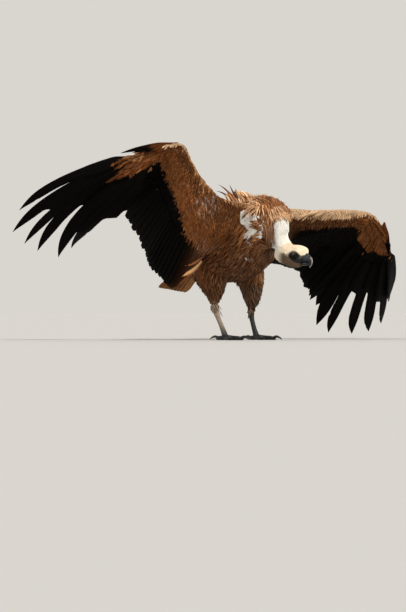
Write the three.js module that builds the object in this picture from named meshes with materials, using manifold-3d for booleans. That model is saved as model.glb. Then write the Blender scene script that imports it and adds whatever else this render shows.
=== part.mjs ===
// A griffon vulture, life size, as a still museum model. It stands on two feet with its body pitched forward, its neck
// bowed and its head lifted, and holds both wings half open: the right one high, the left one level and drooping.
// Millimetres, +Z up. The bird faces -Y, and its left side is +X.
import * as THREE from "three";
import { mergeVertices } from "three/addons/utils/BufferGeometryUtils.js";
import Module from "manifold-3d";

const wasm = await Module();
wasm.setup();

// ---- driving dimensions ----
const GAP = 0.4; // clearance between neighbouring solids
const ROUNDING = 0.12; // how far a face may be moved to merge it with its neighbours
const FLIGHT_FEATHERS = 28; // on each wing: 10 primaries, then 18 secondaries and tertials
const PRIMARIES = 10;
const VANE_THICKNESS = 2.6;
const RECTRICES = 12;

// ---- vectors and curves ----
const v = (x, y, z) => new THREE.Vector3(x, y, z);
const mix = (a, b, share) => a.clone().lerp(b, share);
const unit = (p) => p.clone().normalize();
const cross = (a, b) => a.clone().cross(b);
const push = (p, direction, distance) => p.clone().addScaledVector(direction, distance);

// The smooth curve through keys [[at, number, number, ...], ...], read at one place.
function through(keys, at) {
  const last = keys.length - 1;
  let i = 0;
  while (i < last - 1 && at > keys[i + 1][0]) i++;
  const [from, to] = [keys[i], keys[i + 1]];
  const span = to[0] - from[0];
  const slope = (k, n) => {
    const [before, after] = [keys[Math.max(k - 1, 0)], keys[Math.min(k + 1, last)]];
    return ((after[n] - before[n]) / (after[0] - before[0])) * span;
  };
  const u = (at - from[0]) / span;
  const values = [];
  for (let n = 1; n < from.length; n++) {
    const rise = to[n] - from[n];
    const [s0, s1] = [slope(i, n), slope(i + 1, n)];
    values.push(from[n] + u * (s0 + u * (3 * rise - 2 * s0 - s1 + u * (s0 + s1 - 2 * rise))));
  }
  return values;
}
const pointThrough = (keys, at) => v(...through(keys, at));
const steps = (from, to, count) =>
  Array.from({ length: count + 1 }, (_, i) => from + ((to - from) * i) / count);

// ---- solids ----

// A closed solid through rings of points. Every ring has the same even number of points.
function skinOver(rings) {
  const sides = rings[0].length;
  const places = rings.flat().flatMap((p) => [p.x, p.y, p.z]);
  const faces = [];
  for (let r = 0; r + 1 < rings.length; r++) {
    for (let s = 0; s < sides; s++) {
      const [a, b] = [r * sides + s, r * sides + ((s + 1) % sides)];
      faces.push([a, b, b + sides], [a, b + sides, a + sides]);
    }
  }
  const end = (rings.length - 1) * sides;
  for (let s = 0; s < sides / 2 - 1; s++) {
    const [a, b, c, d] = [s, s + 1, sides - 2 - s, sides - 1 - s];
    faces.push([a, c, b], [a, d, c], [end + a, end + b, end + c], [end + a, end + c, end + d]);
  }
  const made = solidOf(places, faces);
  return made.volume() > 0 ? made : solidOf(places, faces.map(([a, b, c]) => [a, c, b]));
}

function solidOf(places, faces) {
  const mesh = { numProp: 3, vertProperties: new Float32Array(places), triVerts: new Uint32Array(faces.flat()) };
  return new wasm.Manifold(new wasm.Mesh(mesh));
}

// The biggest body of a solid, without the slivers that a cut leaves.
function biggest(solid) {
  return solid.decompose().reduce((best, one) => (one.volume() > best.volume() ? one : best));
}
const cut = (solid, ...tools) => biggest(tools.reduce((left, tool) => left.subtract(tool), solid));
const join = (solids) => solids.reduce((all, one) => all.add(one));

// A cutter is grown at its two ends as well: -1 at the first ring, 1 at the last, 0 between.
const endwards = (at, first, last) => (at === first ? -1 : at === last ? 1 : 0);

// An oval ring: half sizes wide along side, up above it and down below it.
function oval(centre, side, up, [wide, high, low], sides, grow) {
  return steps(0, 2 * Math.PI, sides).slice(0, -1).map((turn) => {
    const rise = Math.sin(turn) > 0 ? high : low;
    return push(push(centre, side, (wide + grow) * Math.cos(turn)), up, (rise + grow) * Math.sin(turn));
  });
}

// A limb along a path. Keys are [[at, x, y, z, wide, high, low], ...]; side is roughly its sideways direction. What
// would reach below the floor is flattened on it.
function limb(keys, side, { sides = 12, rings = 10, grow = 0, floor = -Infinity } = {}) {
  const [first, last] = [keys[0][0], keys[keys.length - 1][0]];
  const reach = (last - first) / 200;
  return skinOver(
    steps(first, last, rings).map((at) => {
      const [x, y, z, ...sizes] = through(keys, at);
      const ahead = unit(pointThrough(keys, at + reach).sub(pointThrough(keys, at - reach)));
      const up = unit(cross(ahead, side));
      const centre = push(v(x, y, z), ahead, grow * endwards(at, first, last));
      const ring = oval(centre, unit(cross(up, ahead)), up, sizes, sides, grow);
      return ring.map((p) => v(p.x, p.y, Math.max(p.z, floor)));
    }),
  );
}

// ---- trunk ----
const SHOULDERS = v(0, -123, 459); // midway between the shoulder joints
const TRUNK_PITCH = THREE.MathUtils.degToRad(29);
const TRUNK_ROLL = THREE.MathUtils.degToRad(8); // the right shoulder is the higher one
const BACKWARD = v(0, Math.cos(TRUNK_PITCH), -Math.sin(TRUNK_PITCH));
const LEFT = v(Math.cos(TRUNK_ROLL), 0, -Math.sin(TRUNK_ROLL));
const DORSAL = unit(cross(BACKWARD, LEFT)).negate();
// [along the back, drop below the shoulder line, half width, height above the middle, depth below it]
const TRUNK = [
  [-122, 44, 14, 12, 16],
  [-108, 46, 46, 32, 48],
  [-70, 50, 80, 58, 84],
  [-10, 56, 106, 97, 108],
  [60, 64, 119, 118, 121],
  [130, 66, 119, 121, 123],
  [210, 58, 112, 108, 112],
  [285, 42, 92, 84, 88],
  [350, 27, 68, 56, 60],
  [400, 16, 46, 32, 38],
  [428, 11, 28, 18, 22],
];

function trunk(grow = 0) {
  const [first, last] = [TRUNK[0][0], TRUNK[TRUNK.length - 1][0]];
  const rings = steps(first, last, 13).map((along) => {
    const [drop, ...sizes] = through(TRUNK, along);
    const place = along + grow * endwards(along, first, last);
    return oval(push(push(SHOULDERS, BACKWARD, place), DORSAL, -drop), LEFT, DORSAL, sizes, 18, grow);
  });
  return skinOver(rings);
}

// ---- neck and ruff ----
const NECK = [
  [0, 0, -150, 434, 62, 60, 62],
  [1, 0, -196, 452, 52, 48, 52],
  [2, 0, -236, 438, 38, 36, 38],
  [3, -2, -251, 402, 33, 32, 33],
  [4, -2, -254, 362, 32, 31, 32],
  [5, 0, -252, 322, 33, 32, 33],
];
const RUFF = [
  [0, 0, -112, 442, 58, 40, 40],
  [1, 0, -136, 450, 80, 54, 66],
  [2, 0, -172, 460, 86, 54, 72],
  [3, 1, -206, 460, 80, 48, 62],
  [4, 1, -230, 446, 60, 42, 46],
];
const neck = (grow = 0) => limb(NECK, LEFT, { sides: 14, rings: 11, grow });
const ruff = (grow = 0) => limb(RUFF, LEFT, { sides: 16, rings: 6, grow });

// ---- head ----
const EYE_LEVEL = v(20, -318, 307); // midway between the eyes
const HEAD_TURN = THREE.MathUtils.degToRad(16); // to the bird's left
const HEAD_PITCH = THREE.MathUtils.degToRad(20); // bill down
const FACING = v(
  Math.sin(HEAD_TURN) * Math.cos(HEAD_PITCH),
  -Math.cos(HEAD_TURN) * Math.cos(HEAD_PITCH),
  -Math.sin(HEAD_PITCH),
);
const HEAD_LEFT = v(Math.cos(HEAD_TURN), Math.sin(HEAD_TURN), 0);
const CROWN = unit(cross(FACING, HEAD_LEFT));
const EYE_RADIUS = 9.5;
const EYE_OUT = 24; // from the head's middle to the middle of the eyeball
// A place on the head: ahead of the eyes, above them, and to the left.
const onHead = (ahead, above, left = 0) =>
  push(push(push(EYE_LEVEL, FACING, ahead), CROWN, above), HEAD_LEFT, left);
// [ahead of the eyes, rise of the middle, half width, height above the middle, depth below it]
const SKULL = [
  [-88, -18, 8, 8, 10],
  [-83, -18, 22, 22, 25],
  [-66, -14, 31, 31, 38],
  [-44, -10, 34, 32, 45],
  [-18, -8, 34, 35, 48],
  [6, -8, 31, 38, 44],
  [22, -8, 26, 39, 37],
  [33, -8, 20, 35, 28],
  [38, -8, 15, 27, 21],
];
const CERE = [
  [35, -3, 15, 18, 16],
  [42, -2, 13.5, 16.5, 15],
  [48, -1, 12, 14, 13.5],
];
// The upper half of the bill bends down into its hook: [along, ahead, rise, half width, above, below].
const HOOK = [
  [0, 46, -1, 11.4, 13, 13],
  [1, 54, -2, 10.4, 11.5, 12.5],
  [2, 60, -6, 8.4, 8.6, 11],
  [3, 64, -13, 5.8, 6, 8],
  [4, 65.5, -21, 3.4, 3.6, 4.8],
  [5, 65, -29, 1.2, 1.4, 1.6],
];
// The lower half lies close under it: [ahead, rise, half width, above, below].
const MANDIBLE = [
  [28, -28, 13, 8, 8],
  [38, -25, 11.5, 7, 7],
  [47, -22, 9, 5.5, 6],
  [54, -20, 5.4, 3.6, 4],
  [58, -19, 2, 1.6, 2],
];

function headRings(keys, rings, sides, grow) {
  const [first, last] = [keys[0][0], keys[keys.length - 1][0]];
  return steps(first, last, rings).map((ahead) => {
    const [rise, ...sizes] = through(keys, ahead);
    return oval(onHead(ahead + grow * endwards(ahead, first, last), rise), HEAD_LEFT, CROWN, sizes, sides, grow);
  });
}
const skull = (grow = 0) => skinOver(headRings(SKULL, 13, 16, grow));
const cere = (grow = 0) => skinOver(headRings(CERE, 3, 14, grow));
const lowerBill = (grow = 0) => skinOver(headRings(MANDIBLE, 5, 10, grow));

function upperBill(grow = 0) {
  const keys = HOOK.map(([along, ahead, rise, ...sizes]) => [along, ...onHead(ahead, rise).toArray(), ...sizes]);
  return limb(keys, HEAD_LEFT, { sides: 12, rings: 9, grow });
}

function eye(side, grow = 0) {
  const { x, y, z } = onHead(0, 0, side * EYE_OUT);
  const ball = new THREE.SphereGeometry(EYE_RADIUS + grow, 10, 7).translate(x, y, z);
  ball.deleteAttribute("normal");
  ball.deleteAttribute("uv");
  const { attributes, index } = mergeVertices(ball, 1e-3);
  return new wasm.Manifold(
    new wasm.Mesh({ numProp: 3, vertProperties: attributes.position.array, triVerts: new Uint32Array(index.array) }),
  );
}

// ---- wings ----
// Each wing is a sheet from the bones to the feather tips. Feather 0 is the outermost primary, 9 the innermost,
// 10 the first secondary, and 27 the last tertial, next to the body.
const WINGS = {
  right: {
    side: -1,
    bow: [
      [0, 44],
      [1, 58],
      [3, 72],
      [4, 80],
      [5, 84],
      [7, 34],
      [10, 0],
      [28, 0],
    ],
    roots: [
      [0, -517, -94, 656],
      [4, -476, -163, 664],
      [9, -430, -201, 661],
      [12, -404, -199, 616],
      [17, -354, -191, 509],
      [21, -307, -179, 412],
      [24, -222, -152, 398],
      [28, -70, -120, 425],
    ],
    tips: [
      [0, -822, 200, 458],
      [1, -804, 263, 382],
      [2, -723, 300, 343],
      [3, -651, 318, 318],
      [4, -570, 302, 296],
      [5, -522, 288, 329],
      [6, -474, 261, 381],
      [7, -425, 232, 437],
      [8, -376, 205, 464],
      [10, -351, 190, 444],
      [13, -326, 130, 347],
      [16, -336, 66, 271],
      [19, -334, -13, 211],
      [22, -300, -10, 190],
      [25, -240, 60, 190],
      [28, -160, 130, 230],
    ],
    front: [
      [0, -529, -104, 668],
      [4, -484, -176, 677],
      [8, -437, -223, 685],
      [10, -425, -228, 669],
      [14, -387, -223, 616],
      [18, -322, -216, 550],
      [22, -244, -200, 502],
      [25, -168, -186, 483],
      [28, -60, -168, 470],
    ],
  },
  left: {
    side: 1,
    bow: [
      [0, 14],
      [1, -4],
      [3, -16],
      [4, -20],
      [6, -4],
      [10, 0],
      [28, 0],
    ],
    roots: [
      [0, 630, -136, 333],
      [4, 571, -160, 393],
      [9, 510, -167, 432],
      [12, 473, -146, 429],
      [17, 347, -76, 410],
      [21, 250, -15, 389],
      [24, 190, -50, 402],
      [28, 70, -110, 428],
    ],
    tips: [
      [0, 927, 194, 139],
      [1, 921, 225, 56],
      [2, 879, 249, 26],
      [3, 818, 277, 17],
      [4, 717, 297, 22],
      [5, 647, 286, 50],
      [6, 634, 275, 125],
      [7, 573, 240, 145],
      [10, 560, 232, 189],
      [13, 512, 207, 224],
      [15, 500, 222, 256],
      [20, 380, 240, 282],
      [24, 280, 225, 272],
      [28, 150, 190, 262],
    ],
    front: [
      [0, 622, -143, 353],
      [4, 568, -170, 408],
      [8, 509, -179, 452],
      [10, 473, -173, 462],
      [14, 406, -158, 465],
      [18, 334, -139, 464],
      [24, 200, -132, 462],
      [28, 70, -150, 458],
    ],
  },
};
// How far the coverts reach along the feathers, and half the wing's thickness at the bones and at the front edge.
const COVERED = [
  [0, 0.2],
  [4, 0.27],
  [9, 0.4],
  [16, 0.42],
  [22, 0.46],
  [28, 0.55],
];
const ARM_DEPTH = [
  [0, 7, 4],
  [5, 13, 8],
  [10, 17, 11],
  [16, 21, 11],
  [22, 28, 12],
  [28, 34, 22],
];
const COVERT_EDGE = 4.2; // half the thickness where the coverts end

const rootOf = (wing, at) => pointThrough(wing.roots, at);
const tipOf = (wing, at) => pointThrough(wing.tips, at);
const slope = (curve, wing, at) => curve(wing, Math.max(at - 1, 0)).sub(curve(wing, Math.min(at + 1, FLIGHT_FEATHERS)));

// Three directions at a feather: outward over the wing, upward from it, and along the feather.
function wingAxes(wing, at) {
  const along = unit(tipOf(wing, at).sub(rootOf(wing, at)));
  const outward = mix(slope(rootOf, wing, at), slope(tipOf, wing, at), 0.4);
  const dorsal = unit(cross(along, outward)).multiplyScalar(wing.side);
  return { along, dorsal, lead: unit(cross(dorsal, along)).multiplyScalar(wing.side) };
}

// A point on the wing's sheet, a share of the way along a feather. The sheet arches upward, and the outer feathers
// bow forward by the wing's bow, so that their tips hang back.
const ARCH = 14;
function onSheet(wing, at, share) {
  const { dorsal, lead } = wingAxes(wing, at);
  const [bow] = through(wing.bow, at);
  const straight = mix(rootOf(wing, at), tipOf(wing, at), share);
  const arched = push(straight, dorsal, ARCH * 4 * share * (1 - share));
  return push(arched, lead, bow * 2.6 * share * (1 - share * share));
}

// One section of the arm: front edge, bone, then covert edge, with the upper side first.
function armSection(wing, at, grow) {
  const { dorsal } = wingAxes(wing, at);
  const [front, root] = [pointThrough(wing.front, at), rootOf(wing, at)];
  const [covered] = through(COVERED, at);
  const [boneDepth, frontDepth] = through(ARM_DEPTH, at);
  const edge = onSheet(wing, at, covered);
  const ahead = unit(front.clone().sub(root));
  const behind = unit(edge.clone().sub(root));
  const stations = [
    [push(front, ahead, frontDepth * 0.8 + grow), frontDepth * 0.35],
    [push(front, ahead, frontDepth * 0.1), frontDepth],
    [mix(front, root, 0.5), (frontDepth + boneDepth) * 0.5],
    [root, boneDepth],
    [mix(root, edge, 0.5), (boneDepth + COVERT_EDGE) * 0.5],
    [push(edge, behind, grow * 2), COVERT_EDGE],
  ];
  const upper = stations.map(([p, depth]) => push(p, dorsal, depth + grow));
  const lower = stations.map(([p, depth]) => push(p, dorsal, -depth - grow));
  return [...upper, ...lower.reverse()];
}

const armPart = (wing, from, to, sections, grow = 0) =>
  skinOver(steps(from - grow * 0.05, to + grow * 0.05, sections).map((at) => armSection(wing, at, grow)));

// A thin strip along a centre line. Each row gives its centre, leading and trailing edge directions and widths.
function strip(rows, grow) {
  const half = VANE_THICKNESS / 2 + grow;
  return skinOver(
    rows.map(({ centre, along, across, leading, trailing, over = 0 }) => {
      const normal = unit(cross(along, across));
      const [front, back] = [push(centre, across, leading + grow), push(centre, across, -trailing - grow)];
      return [
        push(push(front, normal, half), along, over * grow),
        push(push(back, normal, half), along, over * grow),
        push(push(back, normal, -half), along, over * grow),
        push(push(front, normal, -half), along, over * grow),
      ];
    }),
  );
}

// The vanes lie closed on each other as far as WEB along the feathers; beyond it every primary's tip stands alone.
const WEB = [
  [0, 0.5],
  [3, 0.52],
  [4, 0.57],
  [5, 0.7],
  [6, 0.79],
  [8, 0.88],
  [9.5, 0.9],
];
const webEdge = (at) => through(WEB, at)[0];

// The closed part: a thin sheet with its outer edge at edges = [[feather, share of the way along it], ...].
function web(wing, edges, grow) {
  const half = VANE_THICKNESS / 2 + grow;
  const last = edges.length - 1;
  const rings = edges.map(([feather, edge], i) => {
    const at = feather + (i === 0 ? -0.02 : i === last ? 0.02 : 0) * grow;
    const { dorsal, along } = wingAxes(wing, at);
    const inner = through(COVERED, at)[0] - 0.06;
    const line = [inner, (inner + edge) / 2, edge].map((share) => onSheet(wing, at, share));
    line[2] = push(line[2], along, grow);
    return [
      ...line.map((p) => push(p, dorsal, half)),
      ...line.reverse().map((p) => push(p, dorsal, -half)),
    ];
  });
  return skinOver(rings);
}

// A primary's free tip. Profile rows are [share of the way from the web's edge to the tip, leading, trailing width].
const FINGER = [
  [-0.2, 15, 28],
  [0.3, 14.5, 28.5],
  [0.7, 13, 26],
  [0.9, 8, 15],
  [1, 1.2, 1.8],
];
const ROUNDED = [
  [-0.3, 16, 26],
  [0.6, 14, 22],
  [1, 2, 3],
];
const VANE_TILT = THREE.MathUtils.degToRad(1.2);

function freeTip(wing, at, grow) {
  const edge = webEdge(at);
  const profile = at < 7 ? FINGER : ROUNDED;
  const rows = profile.map(([share, leading, trailing], row) => {
    const place = at === 0 && row === 0 ? 0.16 : edge + (1 - edge) * share; // the foremost vane's edge is all free
    const { dorsal, lead } = wingAxes(wing, at);
    const along = unit(onSheet(wing, at, place + 0.01).sub(onSheet(wing, at, place - 0.01)));
    const flat = unit(push(lead, along, -lead.dot(along)));
    const across = push(flat, dorsal, Math.sin(VANE_TILT)).normalize();
    const over = row === 0 ? -1 : row === profile.length - 1 ? 1 : 0;
    return { centre: onSheet(wing, at, place), along, across, leading, trailing, over };
  });
  return strip(rows, grow);
}

function primaries(wing, grow = 0) {
  const places = [...steps(0, PRIMARIES - 1, PRIMARIES - 1), PRIMARIES - 0.5];
  const closed = web(wing, places.map((at) => [at, webEdge(at)]), grow);
  return join([closed, ...steps(0, PRIMARIES - 1, PRIMARIES - 1).map((at) => freeTip(wing, at, grow))]);
}

// Every secondary ends in a blunt corner, and the edge falls back to a notch before the next one.
const [NOTCH, CORNER] = [0.97, 1.03];
function secondaries(wing) {
  const edges = [];
  for (let at = PRIMARIES; at < FLIGHT_FEATHERS; at++) edges.push([at - 0.5, NOTCH], [at + 0.15, CORNER]);
  return web(wing, [...edges, [FLIGHT_FEATHERS - 0.5, NOTCH]], 0);
}

// ---- alula ----
const ALULA = {
  right: { from: v(-444, -214, 690), to: v(-590, -78, 664), up: v(0.2, -0.5, 0.8), width: [11, 12] },
  left: { from: v(560, -186, 428), to: v(628, -128, 300), up: v(0.6, -0.7, 0.2), width: [9, 10] },
};

function alula({ from, to, up, width: [leading, trailing] }, grow = 0) {
  const along = unit(to.clone().sub(from));
  const across = unit(push(up, along, -up.dot(along)));
  const profile = [
    [0, 0.7],
    [0.35, 1],
    [0.75, 0.8],
    [1, 0.12],
  ];
  const rows = profile.map(([share, width], row) => ({
    centre: push(mix(from, to, share), across, 10 * share * (1 - share)),
    along,
    across,
    leading: leading * width,
    trailing: trailing * width,
    over: row === 0 ? -1 : row === profile.length - 1 ? 1 : 0,
  }));
  return strip(rows, grow);
}

// ---- tail ----
const TAIL_ROOT = push(push(SHOULDERS, BACKWARD, 345), DORSAL, -6);
const TAIL_TIP = v(15, 393, 182);
const TAIL_SPREAD = { root: 24, tip: 62, shorter: 20, droop: 8 }; // half widths; how much the outer tips fall back

function tail() {
  const along = unit(TAIL_TIP.clone().sub(TAIL_ROOT));
  const up = unit(cross(along, LEFT)).negate();
  const centre = (place, share) => {
    const spread = place * (TAIL_SPREAD.root + (TAIL_SPREAD.tip - TAIL_SPREAD.root) * share);
    const middle = push(push(mix(TAIL_ROOT, TAIL_TIP, share), LEFT, spread), up, 20 * share * (1 - share));
    const fallen = push(middle, along, -TAIL_SPREAD.shorter * place * place * share);
    return push(fallen, up, -TAIL_SPREAD.droop * place * place * share);
  };
  const half = VANE_THICKNESS / 2;
  const edges = [];
  for (const place of steps(-1, 1, RECTRICES - 1)) edges.push([place - 1 / RECTRICES, 0.95], [place, 1]);
  return skinOver(
    [...edges, [1 + 1 / RECTRICES, 0.95]].map(([place, edge]) => {
      const line = [0, 0.5, edge].map((share) => centre(place, share));
      return [...line.map((p) => push(p, up, half)), ...line.reverse().map((p) => push(p, up, -half))];
    }),
  );
}

// ---- legs ----
const LEGS = {
  right: {
    thigh: [
      [0, -66, 40, 300, 62, 78, 98],
      [1, -78, 22, 238, 52, 66, 94],
      [2, -84, 12, 186, 37, 44, 66],
      [3, -87, 12, 150, 22, 26, 33],
      [4, -88, 12, 124, 14, 15, 14],
    ],
    shank: [
      [0, -88, 13, 130, 12, 13, 12],
      [1, -88, 9, 112, 11.5, 12, 11],
      [2, -86, -10, 76, 8.5, 9, 8.5],
      [3, -84, -31, 39, 9, 10, 9],
      [4, -84, -43, 15, 12, 12, 11],
    ],
    ball: v(-84, -46, 11),
  },
  left: {
    thigh: [
      [0, 66, 26, 300, 62, 74, 70],
      [1, 78, 10, 236, 52, 60, 66],
      [2, 84, 0, 180, 37, 42, 56],
      [3, 84, 2, 134, 22, 25, 38],
      [4, 82, 6, 112, 14, 15, 19],
    ],
    shank: [
      [0, 82, 8, 118, 12, 13, 12],
      [1, 82, 8, 98, 11.5, 12, 11],
      [2, 82, 0, 68, 8.5, 9, 8.5],
      [3, 82, -12, 36, 9, 10, 9],
      [4, 82, -22, 15, 12, 12, 11],
    ],
    ball: v(82, -24, 11),
  },
};
// Toes from the ball of the foot: heading from straight ahead (outward is positive), length, radius at root and tip.
const TOES = {
  inner: { heading: -24, length: 68, radii: [10, 7.5], claw: 34 },
  middle: { heading: 2, length: 98, radii: [10.5, 7.5], claw: 33 },
  outer: { heading: 26, length: 72, radii: [9.5, 7], claw: 27 },
  hind: { heading: 176, length: 44, radii: [9.5, 7.5], claw: 36 },
};
const SOLE_CUT = 2.5; // how much of a toe's round underside is flat on the floor

const headingOf = (side, degrees) => {
  const turn = THREE.MathUtils.degToRad(degrees);
  return v(side * Math.sin(turn), -Math.cos(turn), 0);
};
const UP = v(0, 0, 1);

function toe(ball, side, { heading, length, radii }, grow = 0) {
  const ahead = headingOf(side, heading);
  const [thick, slim] = radii;
  const key = (share, radius, rise) => {
    const [x, y] = push(ball, ahead, length * share).toArray();
    return [share, x, y, radius - SOLE_CUT + rise, radius, radius, radius];
  };
  const keys = [
    key(0, thick, 3),
    key(0.3, thick - 1, 1),
    key(0.55, slim + 1.6, 0),
    key(0.8, slim + 1, 0),
    key(1, slim - 2, 1),
  ];
  return limb(keys, cross(UP, ahead), { sides: 8, rings: 4, grow, floor: grow > 0 ? -1 : 0 });
}

function claw(ball, side, { heading, length, radii, claw: reach }, grow = 0) {
  const ahead = headingOf(side, heading);
  const start = push(ball, ahead, length - 5);
  const rows = [
    [0, 0, radii[1] + 1, 5.4],
    [1, 0.34, radii[1] + 4.5, 5],
    [2, 0.68, radii[1] + 2, 3.6],
    [3, 0.9, 5.5, 2],
    [4, 1, 1.4, 0.7],
  ];
  const keys = rows.map(([at, share, z, radius]) => {
    const [x, y] = push(start, ahead, (reach + 5) * share).toArray();
    return [at, x, y, z, radius, radius, radius];
  });
  return limb(keys, cross(UP, ahead), { sides: 6, rings: 4, grow });
}

const thigh = (leg, grow = 0) => limb(leg.thigh, LEFT, { sides: 14, rings: 7, grow });
const shank = (leg, grow = 0) => limb(leg.shank, LEFT, { sides: 8, rings: 6, grow });
const foot = (leg, side, grow = 0) => join(Object.values(TOES).map((one) => toe(leg.ball, side, one, grow)));

// ---- colours ----
const paint = (color, roughness) => new THREE.MeshStandardMaterial({ color, roughness, metalness: 0 });
const MATERIALS = {
  plumage: paint(0x6f4527, 0.85),
  coverts: paint(0x77492a, 0.85),
  flight: paint(0x17120f, 0.7),
  down: paint(0xece6da, 0.95),
  face: paint(0xd6bfa3, 0.9),
  cere: paint(0x2b3036, 0.5),
  horn: paint(0x4c4a4c, 0.35),
  claws: paint(0x1c1a1b, 0.4),
  scales: paint(0x6e655f, 0.7),
  eye: paint(0x140d09, 0.1),
};

// ---- assembly ----
const bird = new THREE.Group();

function add(name, solid, material) {
  const { vertProperties, triVerts } = solid.asOriginal().simplify(ROUNDING).getMesh();
  const geometry = new THREE.BufferGeometry();
  geometry.setAttribute("position", new THREE.BufferAttribute(new Float32Array(vertProperties), 3));
  geometry.setIndex(new THREE.BufferAttribute(new Uint32Array(triVerts), 1));
  geometry.computeVertexNormals();
  const mesh = new THREE.Mesh(geometry, MATERIALS[material]);
  mesh.name = name;
  bird.add(mesh);
}

const trunkTool = trunk(GAP);
add("trunk", trunk(), "plumage");
add("ruff", cut(ruff(), trunkTool, neck(GAP)), "plumage");

const eyeTools = [eye(-1, GAP), eye(1, GAP)];
const skullTool = skull(GAP);
add("neck", cut(neck(), trunkTool, skullTool), "down");
add("head", cut(skull(), ...eyeTools), "face");
add("cere", cut(cere(), skullTool), "cere");
add("bill_upper", cut(upperBill(), cere(GAP), skullTool), "horn");
add("bill_lower", cut(lowerBill(), skullTool, cere(GAP), upperBill(GAP)), "horn");
add("eye_right", eye(-1), "eye");
add("eye_left", eye(1), "eye");

const NODE_GAP = 0.025; // in feathers: the clearance where the arm is parted into its lengths
const ARM_PARTS = {
  upper_arm: { from: 21 + NODE_GAP, to: 28, sections: 5 },
  forearm: { from: 9 + NODE_GAP, to: 21 - NODE_GAP, sections: 8 },
  hand: { from: 0, to: 9 - NODE_GAP, sections: 6 },
};
for (const [name, wing] of Object.entries(WINGS)) {
  const armTools = [];
  const bodyTools = [trunkTool, ruff(GAP), neck(GAP), thigh(LEGS[name], GAP)];
  for (const [part, { from, to, sections }] of Object.entries(ARM_PARTS)) {
    add(`${part}_${name}`, cut(armPart(wing, from, to, sections), ...bodyTools), "coverts");
    armTools.push(armPart(wing, from, to, sections, GAP));
  }
  const primaryTool = primaries(wing, GAP);
  add(`primaries_${name}`, cut(primaries(wing), ...armTools), "flight");
  add(`secondaries_${name}`, cut(secondaries(wing), ...armTools, ...bodyTools, primaryTool), "flight");
  add(`alula_${name}`, cut(alula(ALULA[name]), ...armTools, primaryTool), "flight");
}

add("tail", cut(tail(), trunkTool), "flight");

for (const [name, leg] of Object.entries(LEGS)) {
  const side = WINGS[name].side;
  const clawTools = Object.values(TOES).map((one) => claw(leg.ball, side, one, GAP));
  add(`thigh_${name}`, cut(thigh(leg), trunkTool), "plumage");
  add(`shank_${name}`, cut(shank(leg), thigh(leg, GAP), foot(leg, side, GAP)), "scales");
  add(`foot_${name}`, cut(foot(leg, side), ...clawTools), "scales");
  for (const [place, one] of Object.entries(TOES)) {
    add(`claw_${place}_${name}`, claw(leg.ball, side, one), "claws");
  }
}

// The part's origin is the middle of its footprint, on the floor.
const box = new THREE.Box3().setFromObject(bird);
bird.position.set(-(box.min.x + box.max.x) / 2, -(box.min.y + box.max.y) / 2, -box.min.z);

export default bird;
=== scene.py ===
"""A griffon vulture, life size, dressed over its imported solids.

One skin stands for all the flesh. Over it lies the coat: short down on the head and neck, lanceolate
feathers on the ruff, contour feathers on the body, rows of coverts on both faces of the wings, then the
flight feathers and the tail. Shapes are worked out in the bird's own frame, in millimetres: it faces -Y, and
its left side is +X.
"""
import math

import bmesh
import bpy
import numpy as np
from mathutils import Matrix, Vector
from mathutils.bvhtree import BVHTree
from mathutils.kdtree import KDTree


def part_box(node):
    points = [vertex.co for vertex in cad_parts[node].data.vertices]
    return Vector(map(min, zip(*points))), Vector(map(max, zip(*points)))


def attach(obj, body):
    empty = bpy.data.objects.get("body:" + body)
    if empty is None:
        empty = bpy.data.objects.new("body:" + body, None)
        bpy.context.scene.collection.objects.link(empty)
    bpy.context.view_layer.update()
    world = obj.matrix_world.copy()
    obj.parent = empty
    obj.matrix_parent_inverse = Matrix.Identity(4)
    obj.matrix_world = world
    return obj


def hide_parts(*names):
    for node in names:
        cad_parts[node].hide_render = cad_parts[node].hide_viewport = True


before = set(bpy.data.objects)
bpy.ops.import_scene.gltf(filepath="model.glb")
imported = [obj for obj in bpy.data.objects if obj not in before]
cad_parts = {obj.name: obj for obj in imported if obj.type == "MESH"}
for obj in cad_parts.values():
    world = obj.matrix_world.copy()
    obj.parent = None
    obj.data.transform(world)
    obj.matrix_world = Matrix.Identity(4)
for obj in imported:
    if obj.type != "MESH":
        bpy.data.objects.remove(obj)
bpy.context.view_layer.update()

MM = 0.001
SPARSE = 1.0
chance = np.random.default_rng(20)


# ---- small maths ----

def vec(*numbers):
    return np.array(numbers, float)


def unit(a):
    return a / np.linalg.norm(a, axis=-1, keepdims=True)


def mix(a, b, share):
    return a + (b - a) * share


def rise(low, high, value):
    """0 up to low, 1 from high on, smooth between."""
    share = np.clip((np.asarray(value, float) - low) / (high - low), 0, 1)
    return share * share * (3 - 2 * share)


def steps(start, end, count):
    return [start + (end - start) * i / count for i in range(count + 1)]


def through(keys, at):
    """The smooth curve through keys [(at, number, number, ...), ...], read at one place."""
    last = len(keys) - 1
    i = 0
    while i < last - 1 and at > keys[i + 1][0]:
        i += 1
    start, end = np.array(keys[i], float), np.array(keys[i + 1], float)
    span = end[0] - start[0]

    def slope(k):
        before, after = np.array(keys[max(k - 1, 0)], float), np.array(keys[min(k + 1, last)], float)
        return (after - before) / (after[0] - before[0]) * span

    s0, s1, gain = slope(i), slope(i + 1), end - start
    u = (at - start[0]) / span
    return (start + u * (s0 + u * (3 * gain - 2 * s0 - s1 + u * (s0 + s1 - 2 * gain))))[1:]


# ---- the skeleton: the same driving dimensions as the solids ----
SHOULDERS = vec(0, -123, 459)
TRUNK_PITCH, TRUNK_ROLL = math.radians(29), math.radians(8)
BACKWARD = vec(0, math.cos(TRUNK_PITCH), -math.sin(TRUNK_PITCH))
LEFT = vec(math.cos(TRUNK_ROLL), 0, -math.sin(TRUNK_ROLL))
DORSAL = -unit(np.cross(BACKWARD, LEFT))
UP = vec(0, 0, 1)
RIGHT_FRONT, LEFT_FRONT = vec(-0.643, -0.766, 0), vec(0.766, -0.643, 0)
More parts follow.
